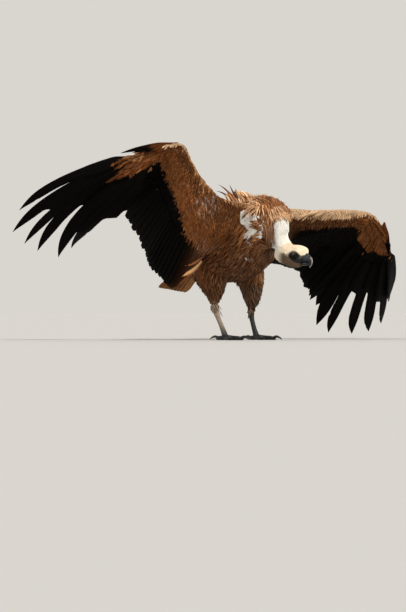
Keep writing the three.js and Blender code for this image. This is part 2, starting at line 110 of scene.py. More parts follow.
# Along the back, drop of the middle, half width, height above the middle, depth below it.
TRUNK = [
    (-122, 44, 14, 12, 16), (-108, 46, 46, 32, 48), (-70, 50, 80, 58, 84), (-10, 56, 106, 97, 108),
    (60, 64, 119, 118, 121), (130, 66, 119, 121, 123), (210, 58, 112, 108, 112), (285, 42, 92, 84, 88),
    (350, 27, 68, 56, 60), (400, 16, 46, 32, 38), (428, 11, 28, 18, 22),
]
NECK = [
    (0, 0, -150, 434), (1, 0, -196, 452), (2, 0, -236, 438), (3, -2, -251, 402), (4, -2, -254, 362),
    (5, 0, -252, 322),
]
RUFF = [(0, 0, -112, 442), (1, 0, -136, 450), (2, 0, -172, 460), (3, 1, -206, 460), (4, 1, -230, 446)]

EYE_LEVEL = vec(20, -318, 307)  # midway between the eyes
HEAD_TURN, HEAD_PITCH = math.radians(16), math.radians(20)
FACING = vec(
    math.sin(HEAD_TURN) * math.cos(HEAD_PITCH),
    -math.cos(HEAD_TURN) * math.cos(HEAD_PITCH),
    -math.sin(HEAD_PITCH),
)
HEAD_LEFT = vec(math.cos(HEAD_TURN), math.sin(HEAD_TURN), 0)
CROWN = unit(np.cross(FACING, HEAD_LEFT))
EYE_RADIUS, EYE_OUT = 9.5, 24.0
# The upper bill: along, ahead of the eyes, rise, half width, above, below.
HOOK = [
    (0, 46, -1, 11.4, 13, 13), (1, 54, -2, 10.4, 11.5, 12.5), (2, 60, -6, 8.4, 8.6, 11),
    (3, 64, -13, 5.8, 6, 8), (4, 65.5, -21, 3.4, 3.6, 4.8), (5, 65, -29, 1.2, 1.4, 1.6),
]
# The cere and the lower bill: ahead of the eyes, rise, half width, above, below.
CERE = [(33, -4, 15.5, 19, 16.5), (42, -2, 13.5, 16.5, 15), (48, -1, 12, 14, 13.5), (50, -1, 11, 13, 12.5)]
MANDIBLE = [
    (26, -27, 6.5, 6, 6), (37, -25, 9.6, 7, 6.6), (47, -22, 8.6, 5.5, 5.6), (54, -20, 5.4, 3.6, 4),
    (58, -19, 2, 1.6, 2),
]


def on_head(ahead, above, left=0.0):
    return EYE_LEVEL + FACING * ahead + CROWN * above + HEAD_LEFT * left


# Each wing is a sheet from the bones to the feather tips, on which places go by numbers: 0 is the outermost
# primary, 9 the innermost one, 10 the first secondary, and 27 the last tertial, next to the body.
FLIGHT_FEATHERS, PRIMARIES = 28, 10
WINGS = {
    "right": dict(
        side=-1,
        # How far each feather bends towards the wing's leading side.
        bow=[(0, 44), (1, 58), (3, 72), (4, 80), (5, 84), (7, 34), (10, 0), (28, 0)],
        roots=[
            (0, -517, -94, 656), (4, -476, -163, 664), (9, -430, -201, 661), (12, -404, -199, 616),
            (17, -354, -191, 509), (21, -307, -179, 412), (24, -222, -152, 398), (28, -70, -120, 425),
        ],
        tips=[
            (0, -822, 200, 458), (1, -804, 263, 382), (2, -723, 300, 343), (3, -651, 318, 318),
            (4, -570, 302, 296), (5, -522, 288, 329), (6, -474, 261, 381), (7, -425, 232, 437),
            (8, -376, 205, 464), (10, -351, 190, 444), (13, -326, 130, 347), (16, -336, 66, 271),
            (19, -334, -13, 211), (22, -300, -10, 190), (25, -240, 60, 190), (28, -160, 130, 230),
        ],
        front=[
            (0, -529, -104, 668), (4, -484, -176, 677), (8, -437, -223, 685), (10, -425, -228, 669),
            (14, -387, -223, 616), (18, -322, -216, 550), (22, -244, -200, 502), (25, -168, -186, 483),
            (28, -60, -168, 470),
        ],
        # Where the brown lining of the underside gives way to black.
        lining=[
            (0, 1.25), (1.5, 1.56), (3, 1.5), (3.5, 1.25), (4, 0.88), (4.5, 0.62), (4.8, 0.4),
            (5.5, 0.26), (6, 0.28), (7.5, 0.48), (8.5, 0.6), (11, 0.66), (16, 0.6), (18, 0.68),
            (19.5, 0.8), (21, 0.95), (28, 1.0),
        ],
        # Where each primary narrows to its finger, and how far its trailing web reaches beyond that.
        notch=[
            (0, 0.42), (1, 0.72), (2, 0.64), (3, 0.54), (4, 0.74), (5, 0.58), (6, 0.6), (7, 0.64),
            (8, 0.76), (9, 0.93),
        ],
        finger=[(0, 17), (1, 27), (3, 28), (4, 29), (5, 33), (6, 13), (7, 10), (8, 12), (9, 26)],
        # Where the buff front edge ends.
        buff=[(0, -0.8), (9, -0.86), (12, -0.95), (28, -0.92)],
    ),
    "left": dict(
        side=1,
        bow=[(0, 14), (1, -4), (3, -16), (4, -20), (6, -4), (10, 0), (28, 0)],
        roots=[
            (0, 630, -136, 333), (4, 571, -160, 393), (9, 510, -167, 432), (12, 473, -146, 429),
            (17, 347, -76, 410), (21, 250, -15, 389), (24, 190, -50, 402), (28, 70, -110, 428),
        ],
        tips=[
            (0, 927, 194, 139), (1, 921, 225, 56), (2, 879, 249, 26), (3, 818, 277, 17), (4, 717, 297, 22),
            (5, 647, 286, 50), (6, 634, 275, 125), (7, 573, 240, 145), (10, 560, 232, 189),
            (13, 512, 207, 224), (15, 500, 222, 256), (20, 380, 240, 282), (24, 280, 225, 272),
            (28, 150, 190, 262),
        ],
        front=[
            (0, 622, -143, 353), (4, 568, -170, 408), (8, 509, -179, 452), (10, 473, -173, 462),
            (14, 406, -158, 465), (18, 334, -139, 464), (24, 200, -132, 462), (28, 70, -150, 458),
        ],
        lining=[
            (0, 0.52), (1.8, 0.52), (2.8, 0.6), (3.8, 0.56), (4.2, 0.66), (5.2, 0.66), (7.8, 0.55),
            (11.5, 0.24), (13.2, -0.04), (15.8, -0.16), (17.8, -0.2), (20.2, -0.34), (28, -0.32),
        ],
        notch=[
            (0, 0.72), (1, 0.6), (2, 0.5), (3, 0.52), (4, 0.57), (5, 0.7), (6, 0.79), (8, 0.88), (9, 0.93),
        ],
        finger=[(0, 34), (1, 28), (3, 28), (6, 30), (9, 44)],
        buff=[(0, -0.9), (8, -0.8), (14.2, -0.6), (16.8, -0.62), (22.8, -0.76), (28, -0.78)],
    ),
}
# The share of each feather that coverts hide.
COVERED = [(0, 0.2), (4, 0.27), (9, 0.4), (16, 0.42), (22, 0.46), (28, 0.55)]
# Half the wing's thickness, at its bones and at its front edge.
ARM_DEPTH = [(0, 7, 4), (5, 13, 8), (10, 17, 11), (16, 21, 11), (22, 28, 12), (28, 34, 22)]
ARCH = 14  # how far the middle of a feather sinks below the line from its root to its tip


def root_of(wing, at):
    return through(wing["roots"], at)


def tip_of(wing, at):
    return through(wing["tips"], at)


def read_off(keys, ats):
    """Values at some places, from straight lines between keys [(place, value), ...]."""
    places, values = zip(*keys)
    return np.interp(ats, places, values)


def wing_axes(wing, at):
    """Three directions at a feather: along it, upward from the wing, and towards the wing's leading side."""
    along = unit(tip_of(wing, at) - root_of(wing, at))

    def slope(curve):
        return curve(wing, max(at - 1, 0)) - curve(wing, min(at + 1, FLIGHT_FEATHERS))

    outward = mix(slope(root_of), slope(tip_of), 0.4)
    dorsal = unit(np.cross(outward, along)) * wing["side"]
    return along, dorsal, unit(np.cross(along, dorsal)) * wing["side"]


def on_sheet(wing, at, share):
    """A point on the wing's sheet, a share of the way along a feather."""
    _, dorsal, lead = wing_axes(wing, at)
    bow = through(wing["bow"], at)[0]
    straight = mix(root_of(wing, at), tip_of(wing, at), share)
    arched = straight - dorsal * (ARCH * 4 * share * (1 - share))
    return arched + lead * (bow * 2.6 * share * (1 - share * share))


def on_wing(wing, at, share):
    """A point in the middle of the wing: -1 is its front edge, 0 the quills' roots, 1 where coverts end."""
    if share < 0:
        return mix(root_of(wing, at), through(wing["front"], at), -share)
    return on_sheet(wing, at, through(COVERED, at)[0] * share)


ALULA = {
    "right": dict(start=vec(-444, -214, 690), end=vec(-590, -78, 664), up=vec(0.2, -0.5, 0.8), drop=15),
    "left": dict(start=vec(560, -186, 428), end=vec(628, -128, 300), up=vec(0.6, -0.7, 0.2), drop=0),
}
RECTRICES = 12  # the tail's feathers
TAIL_ROOT = SHOULDERS + BACKWARD * 345 - DORSAL * 6
TAIL_TIP = vec(15, 393, 182)
# Half the tail's breadth at root and tip, and how much shorter and lower its outermost feathers are.
TAIL_SPREAD = dict(root=24, tip=62, shorter=20, droop=8)
LEGS = {
    "right": dict(
        side=-1,
        thigh=[
            (0, -66, 40, 300), (1, -78, 22, 238), (2, -84, 12, 186), (3, -87, 12, 150), (4, -88, 12, 124),
        ],
        shank=[(0, -88, 13, 130), (1, -88, 9, 112), (2, -86, -10, 76), (3, -84, -31, 39), (4, -84, -43, 15)],
        ball=vec(-84, -46, 11),
    ),
    "left": dict(
        side=1,
        thigh=[(0, 66, 26, 300), (1, 78, 10, 236), (2, 84, 0, 180), (3, 84, 2, 134), (4, 82, 6, 112)],
        shank=[(0, 82, 8, 118), (1, 82, 8, 98), (2, 82, 0, 68), (3, 82, -12, 36), (4, 82, -22, 15)],
        ball=vec(82, -24, 11),
    ),
}
# Heading from straight ahead, length, radius at the tip, and the claw's reach.
TOES = {
    "inner": (-24, 68, 7.5, 34), "middle": (2, 98, 7.5, 33), "outer": (26, 72, 7, 27),
    "hind": (176, 44, 7.5, 36),
}

# The bird's frame lies where the right eye's solid says.
low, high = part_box("eye_right")
ORIGIN = np.array((low + high) / 2) - on_head(0, 0, -EYE_OUT) * MM


def to_row(places):
    return np.asarray(places) * MM + ORIGIN


def from_row(places):
    return (np.asarray(places) - ORIGIN) / MM


# ---- meshes ----

def deselect():
    bpy.ops.object.select_all(action="DESELECT")


def make_active(piece):
    deselect()
    piece.select_set(True)
    bpy.context.view_layer.objects.active = piece


def modify(piece, kind, **settings):
    """Adds a modifier and applies it."""
    make_active(piece)
    modifier = piece.modifiers.new(kind.lower(), kind)
    for key, value in settings.items():
        setattr(modifier, key, value)
    bpy.ops.object.modifier_apply(modifier=modifier.name)


def points_of(mesh):
    places = np.empty(len(mesh.vertices) * 3)
    mesh.vertices.foreach_get("co", places)
    return places.reshape(-1, 3)


def normals_of(mesh):
    found = np.empty(len(mesh.vertices) * 3)
    mesh.vertices.foreach_get("normal", found)
    return found.reshape(-1, 3)


def set_points(mesh, places):
    mesh.vertices.foreach_set("co", np.asarray(places, np.float32).ravel())
    mesh.update()


def add_attribute(mesh, name, kind, values):
    field = {"FLOAT_COLOR": "color", "FLOAT_VECTOR": "vector"}[kind]
    made = mesh.attributes.new(name, kind, "POINT")
    made.data.foreach_set(field, np.asarray(values, np.float32).ravel())


def new_piece(name, places, faces, material):
    """A piece from arrays of points, in millimetres, and of faces that all have as many corners."""
    mesh = bpy.data.meshes.new(name)
    corners = faces.shape[1]
    mesh.vertices.add(len(places))
    mesh.vertices.foreach_set("co", to_row(places).astype(np.float32).ravel())
    mesh.loops.add(faces.size)
    mesh.loops.foreach_set("vertex_index", faces.astype(np.int32).ravel())
    mesh.polygons.add(len(faces))
    mesh.polygons.foreach_set("loop_start", np.arange(0, faces.size, corners, dtype=np.int32))
    mesh.polygons.foreach_set("use_smooth", np.ones(len(faces), bool))
    mesh.update(calc_edges=True)
    piece = bpy.data.objects.new(name, mesh)
    bpy.context.scene.collection.objects.link(piece)
    mesh.materials.append(material)
    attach(piece, "root")
    return piece


def tree_of(places):
    """A tree that finds the nearest of some places."""
    tree = KDTree(len(places))
    for i, place in enumerate(places):
        tree.insert(Vector(place), i)
    tree.balance()
    return tree


def stack(name, rings, material):
    """A closed form through rings of points: a disc, extruded once for each further ring, then shaped."""
    sides = len(rings[0])
    deselect()
    bpy.ops.mesh.primitive_circle_add(vertices=sides, radius=1, fill_type="NGON")
    piece = bpy.context.object
    piece.name = piece.data.name = name
    bpy.ops.object.mode_set(mode="EDIT")
    for _ in rings[1:]:
        bpy.ops.mesh.extrude_region_move(TRANSFORM_OT_translate={"value": (0, 0, 1)})
    bpy.ops.object.mode_set(mode="OBJECT")
    flat = points_of(piece.data)
    level = np.rint(flat[:, 2]).astype(int)
    turn = np.rint(np.arctan2(flat[:, 1], flat[:, 0]) / (2 * math.pi) * sides).astype(int) % sides
    set_points(piece.data, to_row(np.array(rings)[level, turn]))
    bpy.ops.object.mode_set(mode="EDIT")
    bpy.ops.mesh.select_all(action="SELECT")
    bpy.ops.mesh.normals_make_consistent(inside=False)
    bpy.ops.object.mode_set(mode="OBJECT")
    bpy.ops.object.shade_smooth()
    piece.data.materials.append(material)
    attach(piece, "root")
    return piece


def oval(centre, side, up, wide, high, low, sides):
    """A ring of points with its half sizes wide along side, high above and low below."""
    ring = []
    for turn in steps(0, 2 * math.pi, sides)[:-1]:
        tall = high if turn < math.pi else low
        ring.append(centre + side * wide * math.cos(turn) + up * tall * math.sin(turn))
    return np.array(ring)


# ---- materials ----
MIXED = dict(data_type="RGBA")
MULTIPLIED = dict(data_type="RGBA", blend_type="MULTIPLY")
TIMES = dict(operation="MULTIPLY")
GREATER = dict(operation="MAXIMUM")


def linear(hex_colour):
    """An sRGB hex colour as linear numbers."""
    parts = [int(hex_colour[i:i + 2], 16) / 255 for i in (1, 3, 5)]
    return np.array([p / 12.92 if p <= 0.04045 else ((p + 0.055) / 1.055) ** 2.4 for p in parts])


def colour_of(hex_colour):
    return (*linear(hex_colour), 1)


def add_node(tree, kind, settings=None, **inputs):
    """A node with its settings. Each input is a number, a colour or another node's output.

    An input goes by its name, with _ for a space, or by its number after an i.
    """
    node = tree.nodes.new(kind)
    for key, value in (settings or {}).items():
        setattr(node, key, value)
    for key, value in inputs.items():
        numbered = key[0] == "i" and key[1:].isdigit()
        socket = node.inputs[int(key[1:]) if numbered else key.replace("_", " ")]
        if isinstance(value, bpy.types.NodeSocket):
            tree.links.new(value, socket)
        else:
            socket.default_value = value
    return node


def new_material(name):
    """An empty material with its Principled shader."""
    material = bpy.data.materials.new(name)
    material.use_nodes = True
    tree = material.node_tree
    return material, tree, tree.nodes["Principled BSDF"]


def painted_material(name):
    """An empty material, with the colour painted on a piece's points and the place of each point."""
    material, tree, shader = new_material(name)
    paint = add_node(tree, "ShaderNodeAttribute", dict(attribute_name="paint")).outputs["Color"]
    place = add_node(tree, "ShaderNodeTexCoord").outputs["Object"]
    return material, tree, shader, paint, place


def ramped(tree, *ramps):
    """The product of some ramps: (value, from, to, start, end), each held at both ends."""
    product = 1.0
    for value, first, last, start, end in ramps:
        ramp = add_node(tree, "ShaderNodeMapRange", None, Value=value, i1=first, i2=last, i3=start, i4=end)
        product = add_node(tree, "ShaderNodeMath", TIMES, i0=product, i1=ramp.outputs[0]).outputs[0]
    return product


def brightened(tree, colour, value):
    """A colour times a value."""
    grey = add_node(tree, "ShaderNodeCombineXYZ", None, X=value, Y=value, Z=value).outputs[0]
    return add_node(tree, "ShaderNodeMix", MULTIPLIED, i0=1.0, i6=colour, i7=grey).outputs[2]


def finish_shader(tree, shader, colour, roughness, shine, relief, strength, depth):
    """Sets a surface's colour, how rough and how shiny it is, and its fine relief, depth metres deep."""
    tree.links.new(colour, shader.inputs["Base Color"])
    shader.inputs["Roughness"].default_value = roughness
    shader.inputs["Specular IOR Level"].default_value = shine
    bump = add_node(tree, "ShaderNodeBump", None, Strength=strength, Distance=depth, Height=relief)
    tree.links.new(bump.outputs[0], shader.inputs["Normal"])


WORN = (2.3, 2.2, 2.1, 1)  # how much paler a worn rim is, in red, green and blue
QUILL = colour_of("#dcc3a2")


def feather_material(name, edge, shaft, downy, variety, strands, roughness, shine):
    """Vaned feather: keratin barbs side by side, so it is matt with a silky lustre along the barbs.

    edge is how far the worn rim pales, shaft how far the quill's streak pales, downy how dark the loose base
    is, variety how far one feather differs from the next, and strands how far one barb does. The barbs are
    drawn about 2 mm apart, which is coarser than life, so that they show.
    """
    material, tree, shader = new_material(name)
    paint, quill, barb = [
        add_node(tree, "ShaderNodeAttribute", dict(attribute_name=layer)).outputs[output]
        for layer, output in (("paint", "Color"), ("quill", "Vector"), ("barb", "Vector"))
    ]
    along, across, tone = add_node(tree, "ShaderNodeSeparateXYZ", None, Vector=quill).outputs
    aside = add_node(tree, "ShaderNodeMath", dict(operation="ABSOLUTE"), i0=across).outputs[0]
    strand = add_node(tree, "ShaderNodeTexNoise", None, Vector=barb, Scale=0.55, Detail=3.0).outputs[0]
    light = add_node(tree, "ShaderNodeRGBToBW", None, Color=paint).outputs[0]
    colour = brightened(tree, paint, ramped(
        tree, (tone, -2.0, 2.0, 1 - variety, 1 + variety), (strand, 0.3, 0.7, 1 - strands, 1 + strands),
        (along, 0.05, 0.6, 1 - downy, 1.0),
    ))
    rim = ramped(tree, (aside, 0.45, 1.0, 0.0, 1.0), (along, 0.35, 0.9, 0.25, 1.0))
    tip = ramped(tree, (along, 0.8, 1.0, 0.0, 1.0))
    rim = add_node(tree, "ShaderNodeMath", GREATER, i0=rim, i1=tip).outputs[0]
    rim = add_node(tree, "ShaderNodeMath", TIMES, i0=rim, i1=edge).outputs[0]
    worn = add_node(tree, "ShaderNodeMix", MULTIPLIED, i0=1.0, i6=colour, i7=WORN).outputs[2]
    colour = add_node(tree, "ShaderNodeMix", MIXED, i0=rim, i6=colour, i7=worn).outputs[2]
    streak = ramped(tree, (aside, 0.04, 0.22, shaft, 0.0), (light, 0.004, 0.03, 0.0, 1.0))
    colour = add_node(tree, "ShaderNodeMix", MIXED, i0=streak, i6=colour, i7=QUILL).outputs[2]
    finish_shader(tree, shader, colour, roughness, shine, strand, 0.5, 0.0006)
    return material


CONTOUR = feather_material("contour_feather", 0.3, 0.12, 0.4, 0.3, 0.3, 0.75, 0.12)
LANCEOLATE = feather_material("lanceolate_feather", 0.3, 0.45, 0.3, 0.35, 0.25, 0.7, 0.16)
COVERT = feather_material("covert_feather", 0.2, 0.06, 0.3, 0.3, 0.25, 0.82, 0.03)
FLIGHT = feather_material("flight_feather", 0.03, 0.0, 0.0, 0.2, 0.3, 0.72, 0.03)
DOWN = feather_material("plumulaceous_down", 0.0, 0.0, 0.1, 0.1, 0.12, 0.95, 0.1)


def skin_material():
    """Bare and downy skin: soft and slightly oily, with pores drawn 1.4 mm apart and folds 7 mm apart."""
    material, tree, shader, paint, place = painted_material("skin")
    pores = add_node(tree, "ShaderNodeTexNoise", None, Vector=place, Scale=700.0, Detail=4.0).outputs[0]
    folds = add_node(tree, "ShaderNodeTexNoise", None, Vector=place, Scale=140.0, Detail=3.0).outputs[0]
    colour = brightened(tree, paint, ramped(tree, (folds, 0.3, 0.7, 0.85, 1.1)))
    finish_shader(tree, shader, colour, 0.6, 0.15, pores, 0.5, 0.0008)
    return material


CREASE = (0.35, 0.32, 0.3, 1)  # how much darker the creases are, in red, green and blue


def scale_material():
    """Leg skin: small horny plates, 3 mm across, each domed with a dark crease round it."""
    material, tree, shader, paint, place = painted_material("horny_leg_scales")
    cells = add_node(
        tree, "ShaderNodeTexVoronoi", dict(feature="DISTANCE_TO_EDGE"), Vector=place, Scale=330.0
    ).outputs["Distance"]
    plate = ramped(tree, (cells, 0.02, 0.2, 0.0, 1.0))
    crease = add_node(tree, "ShaderNodeMix", MULTIPLIED, i0=1.0, i6=paint, i7=CREASE).outputs[2]
    colour = add_node(tree, "ShaderNodeMix", MIXED, i0=plate, i6=crease, i7=paint).outputs[2]
    finish_shader(tree, shader, colour, 0.5, 0.28, plate, 0.8, 0.0008)
    return material


def horn_material(name, roughness):
    """Keratin horn, grown in layers and worn smooth: glossy and faintly clouded, its colour painted on."""
    material, tree, shader, paint, place = painted_material(name)
    cloud = add_node(tree, "ShaderNodeTexNoise", None, Vector=place, Scale=260.0, Detail=4.0).outputs[0]
    colour = brightened(tree, paint, ramped(tree, (cloud, 0.35, 0.65, 0.75, 1.2)))
    finish_shader(tree, shader, colour, roughness, 0.4, cloud, 0.25, 0.0004)
    return material


def cere_material():
    """The cere: bare, dark blue-grey and waxy, faintly clouded."""
    material, tree, shader = new_material("cere_skin")
    place = add_node(tree, "ShaderNodeTexCoord").outputs["Object"]
    cloud = add_node(tree, "ShaderNodeTexNoise", None, Vector=place, Scale=300.0, Detail=4.0).outputs[0]
    share = ramped(tree, (cloud, 0.35, 0.7, 0.0, 1.0))
    dark, light = colour_of("#090b0d"), colour_of("#1d242a")
    colour = add_node(tree, "ShaderNodeMix", MIXED, i0=share, i6=dark, i7=light).outputs[2]
    finish_shader(tree, shader, colour, 0.42, 0.5, cloud, 0.4, 0.0005)
    return material


def eye_material(name, middle):
    """A wet eyeball: a black pupil and a dark brown iris with a darker rim, under a clear cornea."""
    material, tree, shader = new_material(name)
    place = add_node(tree, "ShaderNodeTexCoord").outputs["Object"]
    away = add_node(tree, "ShaderNodeVectorMath", dict(operation="SUBTRACT"), i0=place, i1=middle).outputs[0]
    cross = add_node(
        tree, "ShaderNodeVectorMath", dict(operation="CROSS_PRODUCT"), i0=away, i1=tuple(HEAD_LEFT)
    ).outputs[0]
    radius = add_node(tree, "ShaderNodeVectorMath", dict(operation="LENGTH"), i0=cross).outputs["Value"]
    colour = colour_of("#040303")
    for first, last, outer in ((0.0027, 0.0031, "#38210f"), (0.0048, 0.0056, "#0c0907")):
        share = ramped(tree, (radius, first, last, 0.0, 1.0))
        colour = add_node(tree, "ShaderNodeMix", MIXED, i0=share, i6=colour, i7=colour_of(outer)).outputs[2]
    tree.links.new(colour, shader.inputs["Base Color"])
    shader.inputs["Roughness"].default_value = 0.06
    shader.inputs["Coat Weight"].default_value = 0.3
    shader.inputs["Coat Roughness"].default_value = 0.03
    return material


def paint_points(piece, colours):
    add_attribute(piece.data, "paint", "FLOAT_COLOR", np.column_stack([colours, np.ones(len(colours))]))


# ---- markings, the same on skin and coat ----
PALETTE = {
    "rufous": "#8d5227", "chestnut": "#67391a", "fawn": "#bd8656", "buff": "#f0c79b", "umber": "#3c210e",
    "white_down": "#fffaf0", "cream": "#ffedcf", "flesh": "#b59a8c", "dusky": "#5d4431", "slate": "#1e2224",
    "black": "#060504", "soot": "#1b1512", "grey_brown": "#4a3a2c", "leg_pale": "#b39d85",
    # The dark leg colour also serves as painted shade over the whole left, far leg.
    # The pale bill colour is partly the culmen's own horn, partly a painted highlight on it.
    "leg_dark_and_shade": "#2b2d2d", "orange_buff": "#d39a63", "bill": "#0e1215", "culmen_and_highlight": "#b39c8c",
}
COLOURS = {name: linear(value) for name, value in PALETTE.items()}


def in_head(places):
    """Places as (ahead of the eyes, above them, to the left)."""
    away = places - EYE_LEVEL
    return away @ FACING, away @ CROWN, away @ HEAD_LEFT


def tint(base, name, share):
    return mix(base, COLOURS[name], np.asarray(share)[:, None])


def near(places, middle, radii):
    """1 at the middle of an ellipsoid patch, 0 outside it, with a soft edge."""
    away = np.linalg.norm((places - vec(*middle)) / vec(*radii), axis=1)
    return 1 - rise(0.7, 1.1, away)


def waves(places, size, seed):
    """Smooth random waves from -1 to 1, a size across."""
    draw = np.random.default_rng(seed)
    total = np.zeros(len(places))
    for _ in range(7):
        way = unit(draw.normal(size=3))
        total += np.sin(places @ way * (2 * math.pi / size) * draw.uniform(0.7, 1.5) + draw.uniform(0, 6.3))
    return total / 3.0


def head_paint(places):
    """Cream crown, grey-brown cheeks and throat, and a dark mask round the eye, with painted brow shade, on
    to the dark cere.
    """
    ahead, above, left = in_head(places)
    base = np.tile(COLOURS["cream"], (len(places), 1))
    base = tint(base, "white_down", rise(-42, -80, ahead))
    line = above - 0.08 * ahead + 2.5 * waves(places, 16, 21)
    base = tint(base, "dusky", 0.92 * rise(-4, -17, line) * rise(-60, -32, ahead))
    side = rise(12, 20, np.abs(left))
    mask = 1 - rise(0.8, 1.15, np.hypot((ahead - 17) / 34, (above + 10 + 0.08 * ahead) / 17))
    around = 1 - rise(0.8, 1.15, np.hypot((ahead - 5) / 19, (above + 4) / 16))
    base = tint(base, "slate", 0.9 * mask * np.maximum(side, rise(18, 30, ahead)))
    # Black round the eye: partly the dark skin there, partly painted shade under the brow ridge.
    base = tint(base, "black", 0.92 * around * side)
    return tint(base, "bill", rise(29, 34, ahead) * rise(9, 4, above))


def body_paint(places):
    """The back is fawn, bleached by light and wear, the flanks are rufous, the breast and belly darker."""
    height = (places - SHOULDERS) @ DORSAL
    along = (places - SHOULDERS) @ BACKWARD
    base = np.tile(COLOURS["rufous"], (len(places), 1))
    base = tint(base, "chestnut", 0.7 * rise(-60, -130, height + 30 * waves(places, 90, 3)))
    base = tint(base, "umber", 0.75 * rise(-105, -170, height + 16 * waves(places, 60, 4)))
    base = tint(base, "umber", 0.35 * rise(0.1, 0.9, waves(places, 52, 8)))
    base = tint(base, "fawn", 0.8 * rise(0, 44, height + 16 * waves(places, 60, 5)))
    return tint(base, "grey_brown", 0.5 * rise(260, 380, along))


def wing_paint(places, side_name, ats, shares, upper):
    """Brown lining with a fawn front edge, then black. The upper face is fawn up to the great coverts."""
    ats, shares, upper = np.asarray(ats, float), np.asarray(shares, float), np.asarray(upper, float)
    wing = WINGS[side_name]
    front, edge = read_off(wing["buff"], ats), np.where(upper > 0.5, 1.0, read_off(wing["lining"], ats))
    base = np.tile(COLOURS["chestnut"], (len(places), 1))
    base = tint(base, "rufous", 0.5 * rise(-0.5, 0.6, waves(places, 70, 11)))
    base = tint(base, "umber", 0.45 * (1 - upper) * rise(0.0, -0.5, shares + 0.2 * waves(places, 50, 12)))
    base = tint(base, "umber", (1 - upper) * (0.25 * (ats < 9) + 0.4 * (wing["side"] > 0) * (ats > 9)))
    base = tint(base, "fawn", 0.8 * upper * (1 - rise(0.3, 0.9, shares)))
    base = tint(base, "buff", (0.76 - 0.08 * wing["side"]) * (1 - rise(front - 0.08, front + 0.03, shares)))
    tertials = rise(19.5, 22, ats) * (1 - upper)
    streak = rise(0.0, 0.8, np.sin(ats * 7.3) + 0.5 * waves(places, 40, 14)) * tertials
    base = tint(base, "flesh", 0.4 * streak * rise(0.2, 0.6, shares) * rise(2.4, 1.6, shares))
    inner = near(places, (-300, -205, 485), (60, 60, 42)) * (wing["side"] < 0) * (1 - upper)
    base = tint(base, "flesh", 0.5 * inner * rise(0.0, 0.8, waves(places, 20, 15)))
    dark = rise(edge - 0.1, edge - 0.02, shares + 0.04 * waves(places, 22, 13))
    return tint(base, "black", dark * (1 - 0.45 * rise(21, 24, ats) - 0.3 * streak))


# Where white down shows between the feathers of the right shoulder: middles and radii.
DOWN_PATCHES = [
    ((-109, -188, 450), (20, 30, 17)), ((-95, -192, 436), (26, 36, 24)), ((-82, -212, 417), (30, 38, 28)),
    ((-72, -222, 394), (24, 38, 26)),
]
DOWN_FLECKS = [
    ((-92, -192, 376), (7, 26, 18)), ((-86, -186, 347), (7, 26, 16)), ((-70, -172, 302), (13, 28, 17)),
    ((-54, -172, 290), (8, 26, 13)),
]


def patches(places):
    """1 where the white down shows between the feathers."""
    return np.max([near(places, middle, radii) for middle, radii in DOWN_PATCHES + DOWN_FLECKS], axis=0)


def mantle(places):
    """1 where the long lanceolate feathers of the ruff grow."""
    return near(places, (0, -150, 500), (100, 84, 46))


def white_paint(places):
    """White down on neck and shoulder, with pink skin showing through it, partly painted shade on the neck's
    side away from the light.
    """
    base = np.tile(COLOURS["white_down"], (len(places), 1))
    neck = rise(-50, -40, places[:, 0])
    base = tint(base, "flesh", 0.35 * (1 - neck) * rise(0.1, 0.8, waves(places, 34, 7)))
    # On the neck's side seen on the left, away from the key light, the pinkish tint is partly wrinkled pink
    # skin and partly painted shade.
    forward = places @ LEFT_FRONT + 5 * waves(places, 26, 16)
    return tint(base, "flesh", 0.45 * neck * rise(154, 138, forward))


def thigh_paint(places):
    base = body_paint(places)
    # Painted shade: the left thigh, the far one, turns greyer and darker low down.
    base = tint(base, "grey_brown", 0.8 * rise(270, 190, places[:, 2]) * (places[:, 0] > -20))
    return tint(base, "leg_pale", 0.6 * rise(190, 140, places[:, 2]) * (places[:, 0] < -20))


def ruff_paint(places):
    base = np.tile(COLOURS["fawn"], (len(places), 1))
    base = tint(base, "buff", 0.25 + 0.5 * rise(-0.2, 0.7, waves(places, 22, 17)))
    base = tint(base, "rufous", 0.5 * rise(0.1, 0.9, waves(places, 30, 9)))
    return tint(base, "chestnut", 0.8 * rise(445, 405, places[:, 2]))


def leg_paint(places):
    # Painted shade: the left leg, the far one, stays dark all over; the right leg turns pale above its toes.
    base = np.tile(COLOURS["leg_dark_and_shade"], (len(places), 1))
    return tint(base, "leg_pale", 0.85 * rise(12, 70, places[:, 2]) * (places[:, 0] < 0))


PAINTS = {
    "head": head_paint, "neck": white_paint, "shank": leg_paint, "foot": leg_paint, "trunk": body_paint,
    "ruff": ruff_paint, "thigh": thigh_paint,
}


def skin_paint(places, regions):
    """The coat's own markings, with painted shade where feathers cover them."""
    base = np.tile(COLOURS["umber"], (len(places), 1))
    for region in set(regions):
        here = regions == region
        paint = PAINTS.get(kind_of(region)) or wing_maps[region.rsplit("_", 1)[1]].paint
        # Painted shade: skin that feathers cover is painted at 0.6 of its brightness.
        shade = 1 if kind_of(region) in ("head", "neck", "shank", "foot") else 0.6
        base[here] = paint(places[here]) * shade
    return tint(base, "white_down", 0.8 * patches(places))


# ---- the skin ----
ARMS = [f"{part}_{side}" for side in WINGS for part in ("upper_arm", "forearm", "hand")]
THIGHS = [f"thigh_{side}" for side in LEGS]
BARE = [f"{part}_{side}" for side in LEGS for part in ("shank", "foot")]
BODY = ["trunk", "ruff", "neck", *ARMS, *THIGHS]
FLESH = [*BODY, "head", *BARE]
OVERLAP = 0.7  # mm that each solid is swollen by, so that the remesh joins them over their gaps
# How deep the coat is over the skin, in millimetres.
COAT_DEPTH = dict(
    trunk=9, ruff=9, neck=4, head=1.3, thigh=8, upper_arm=5, forearm=2.6, hand=2.2, shank=0, foot=0,
)


def kind_of(node):
    return node.removesuffix("_right").removesuffix("_left")


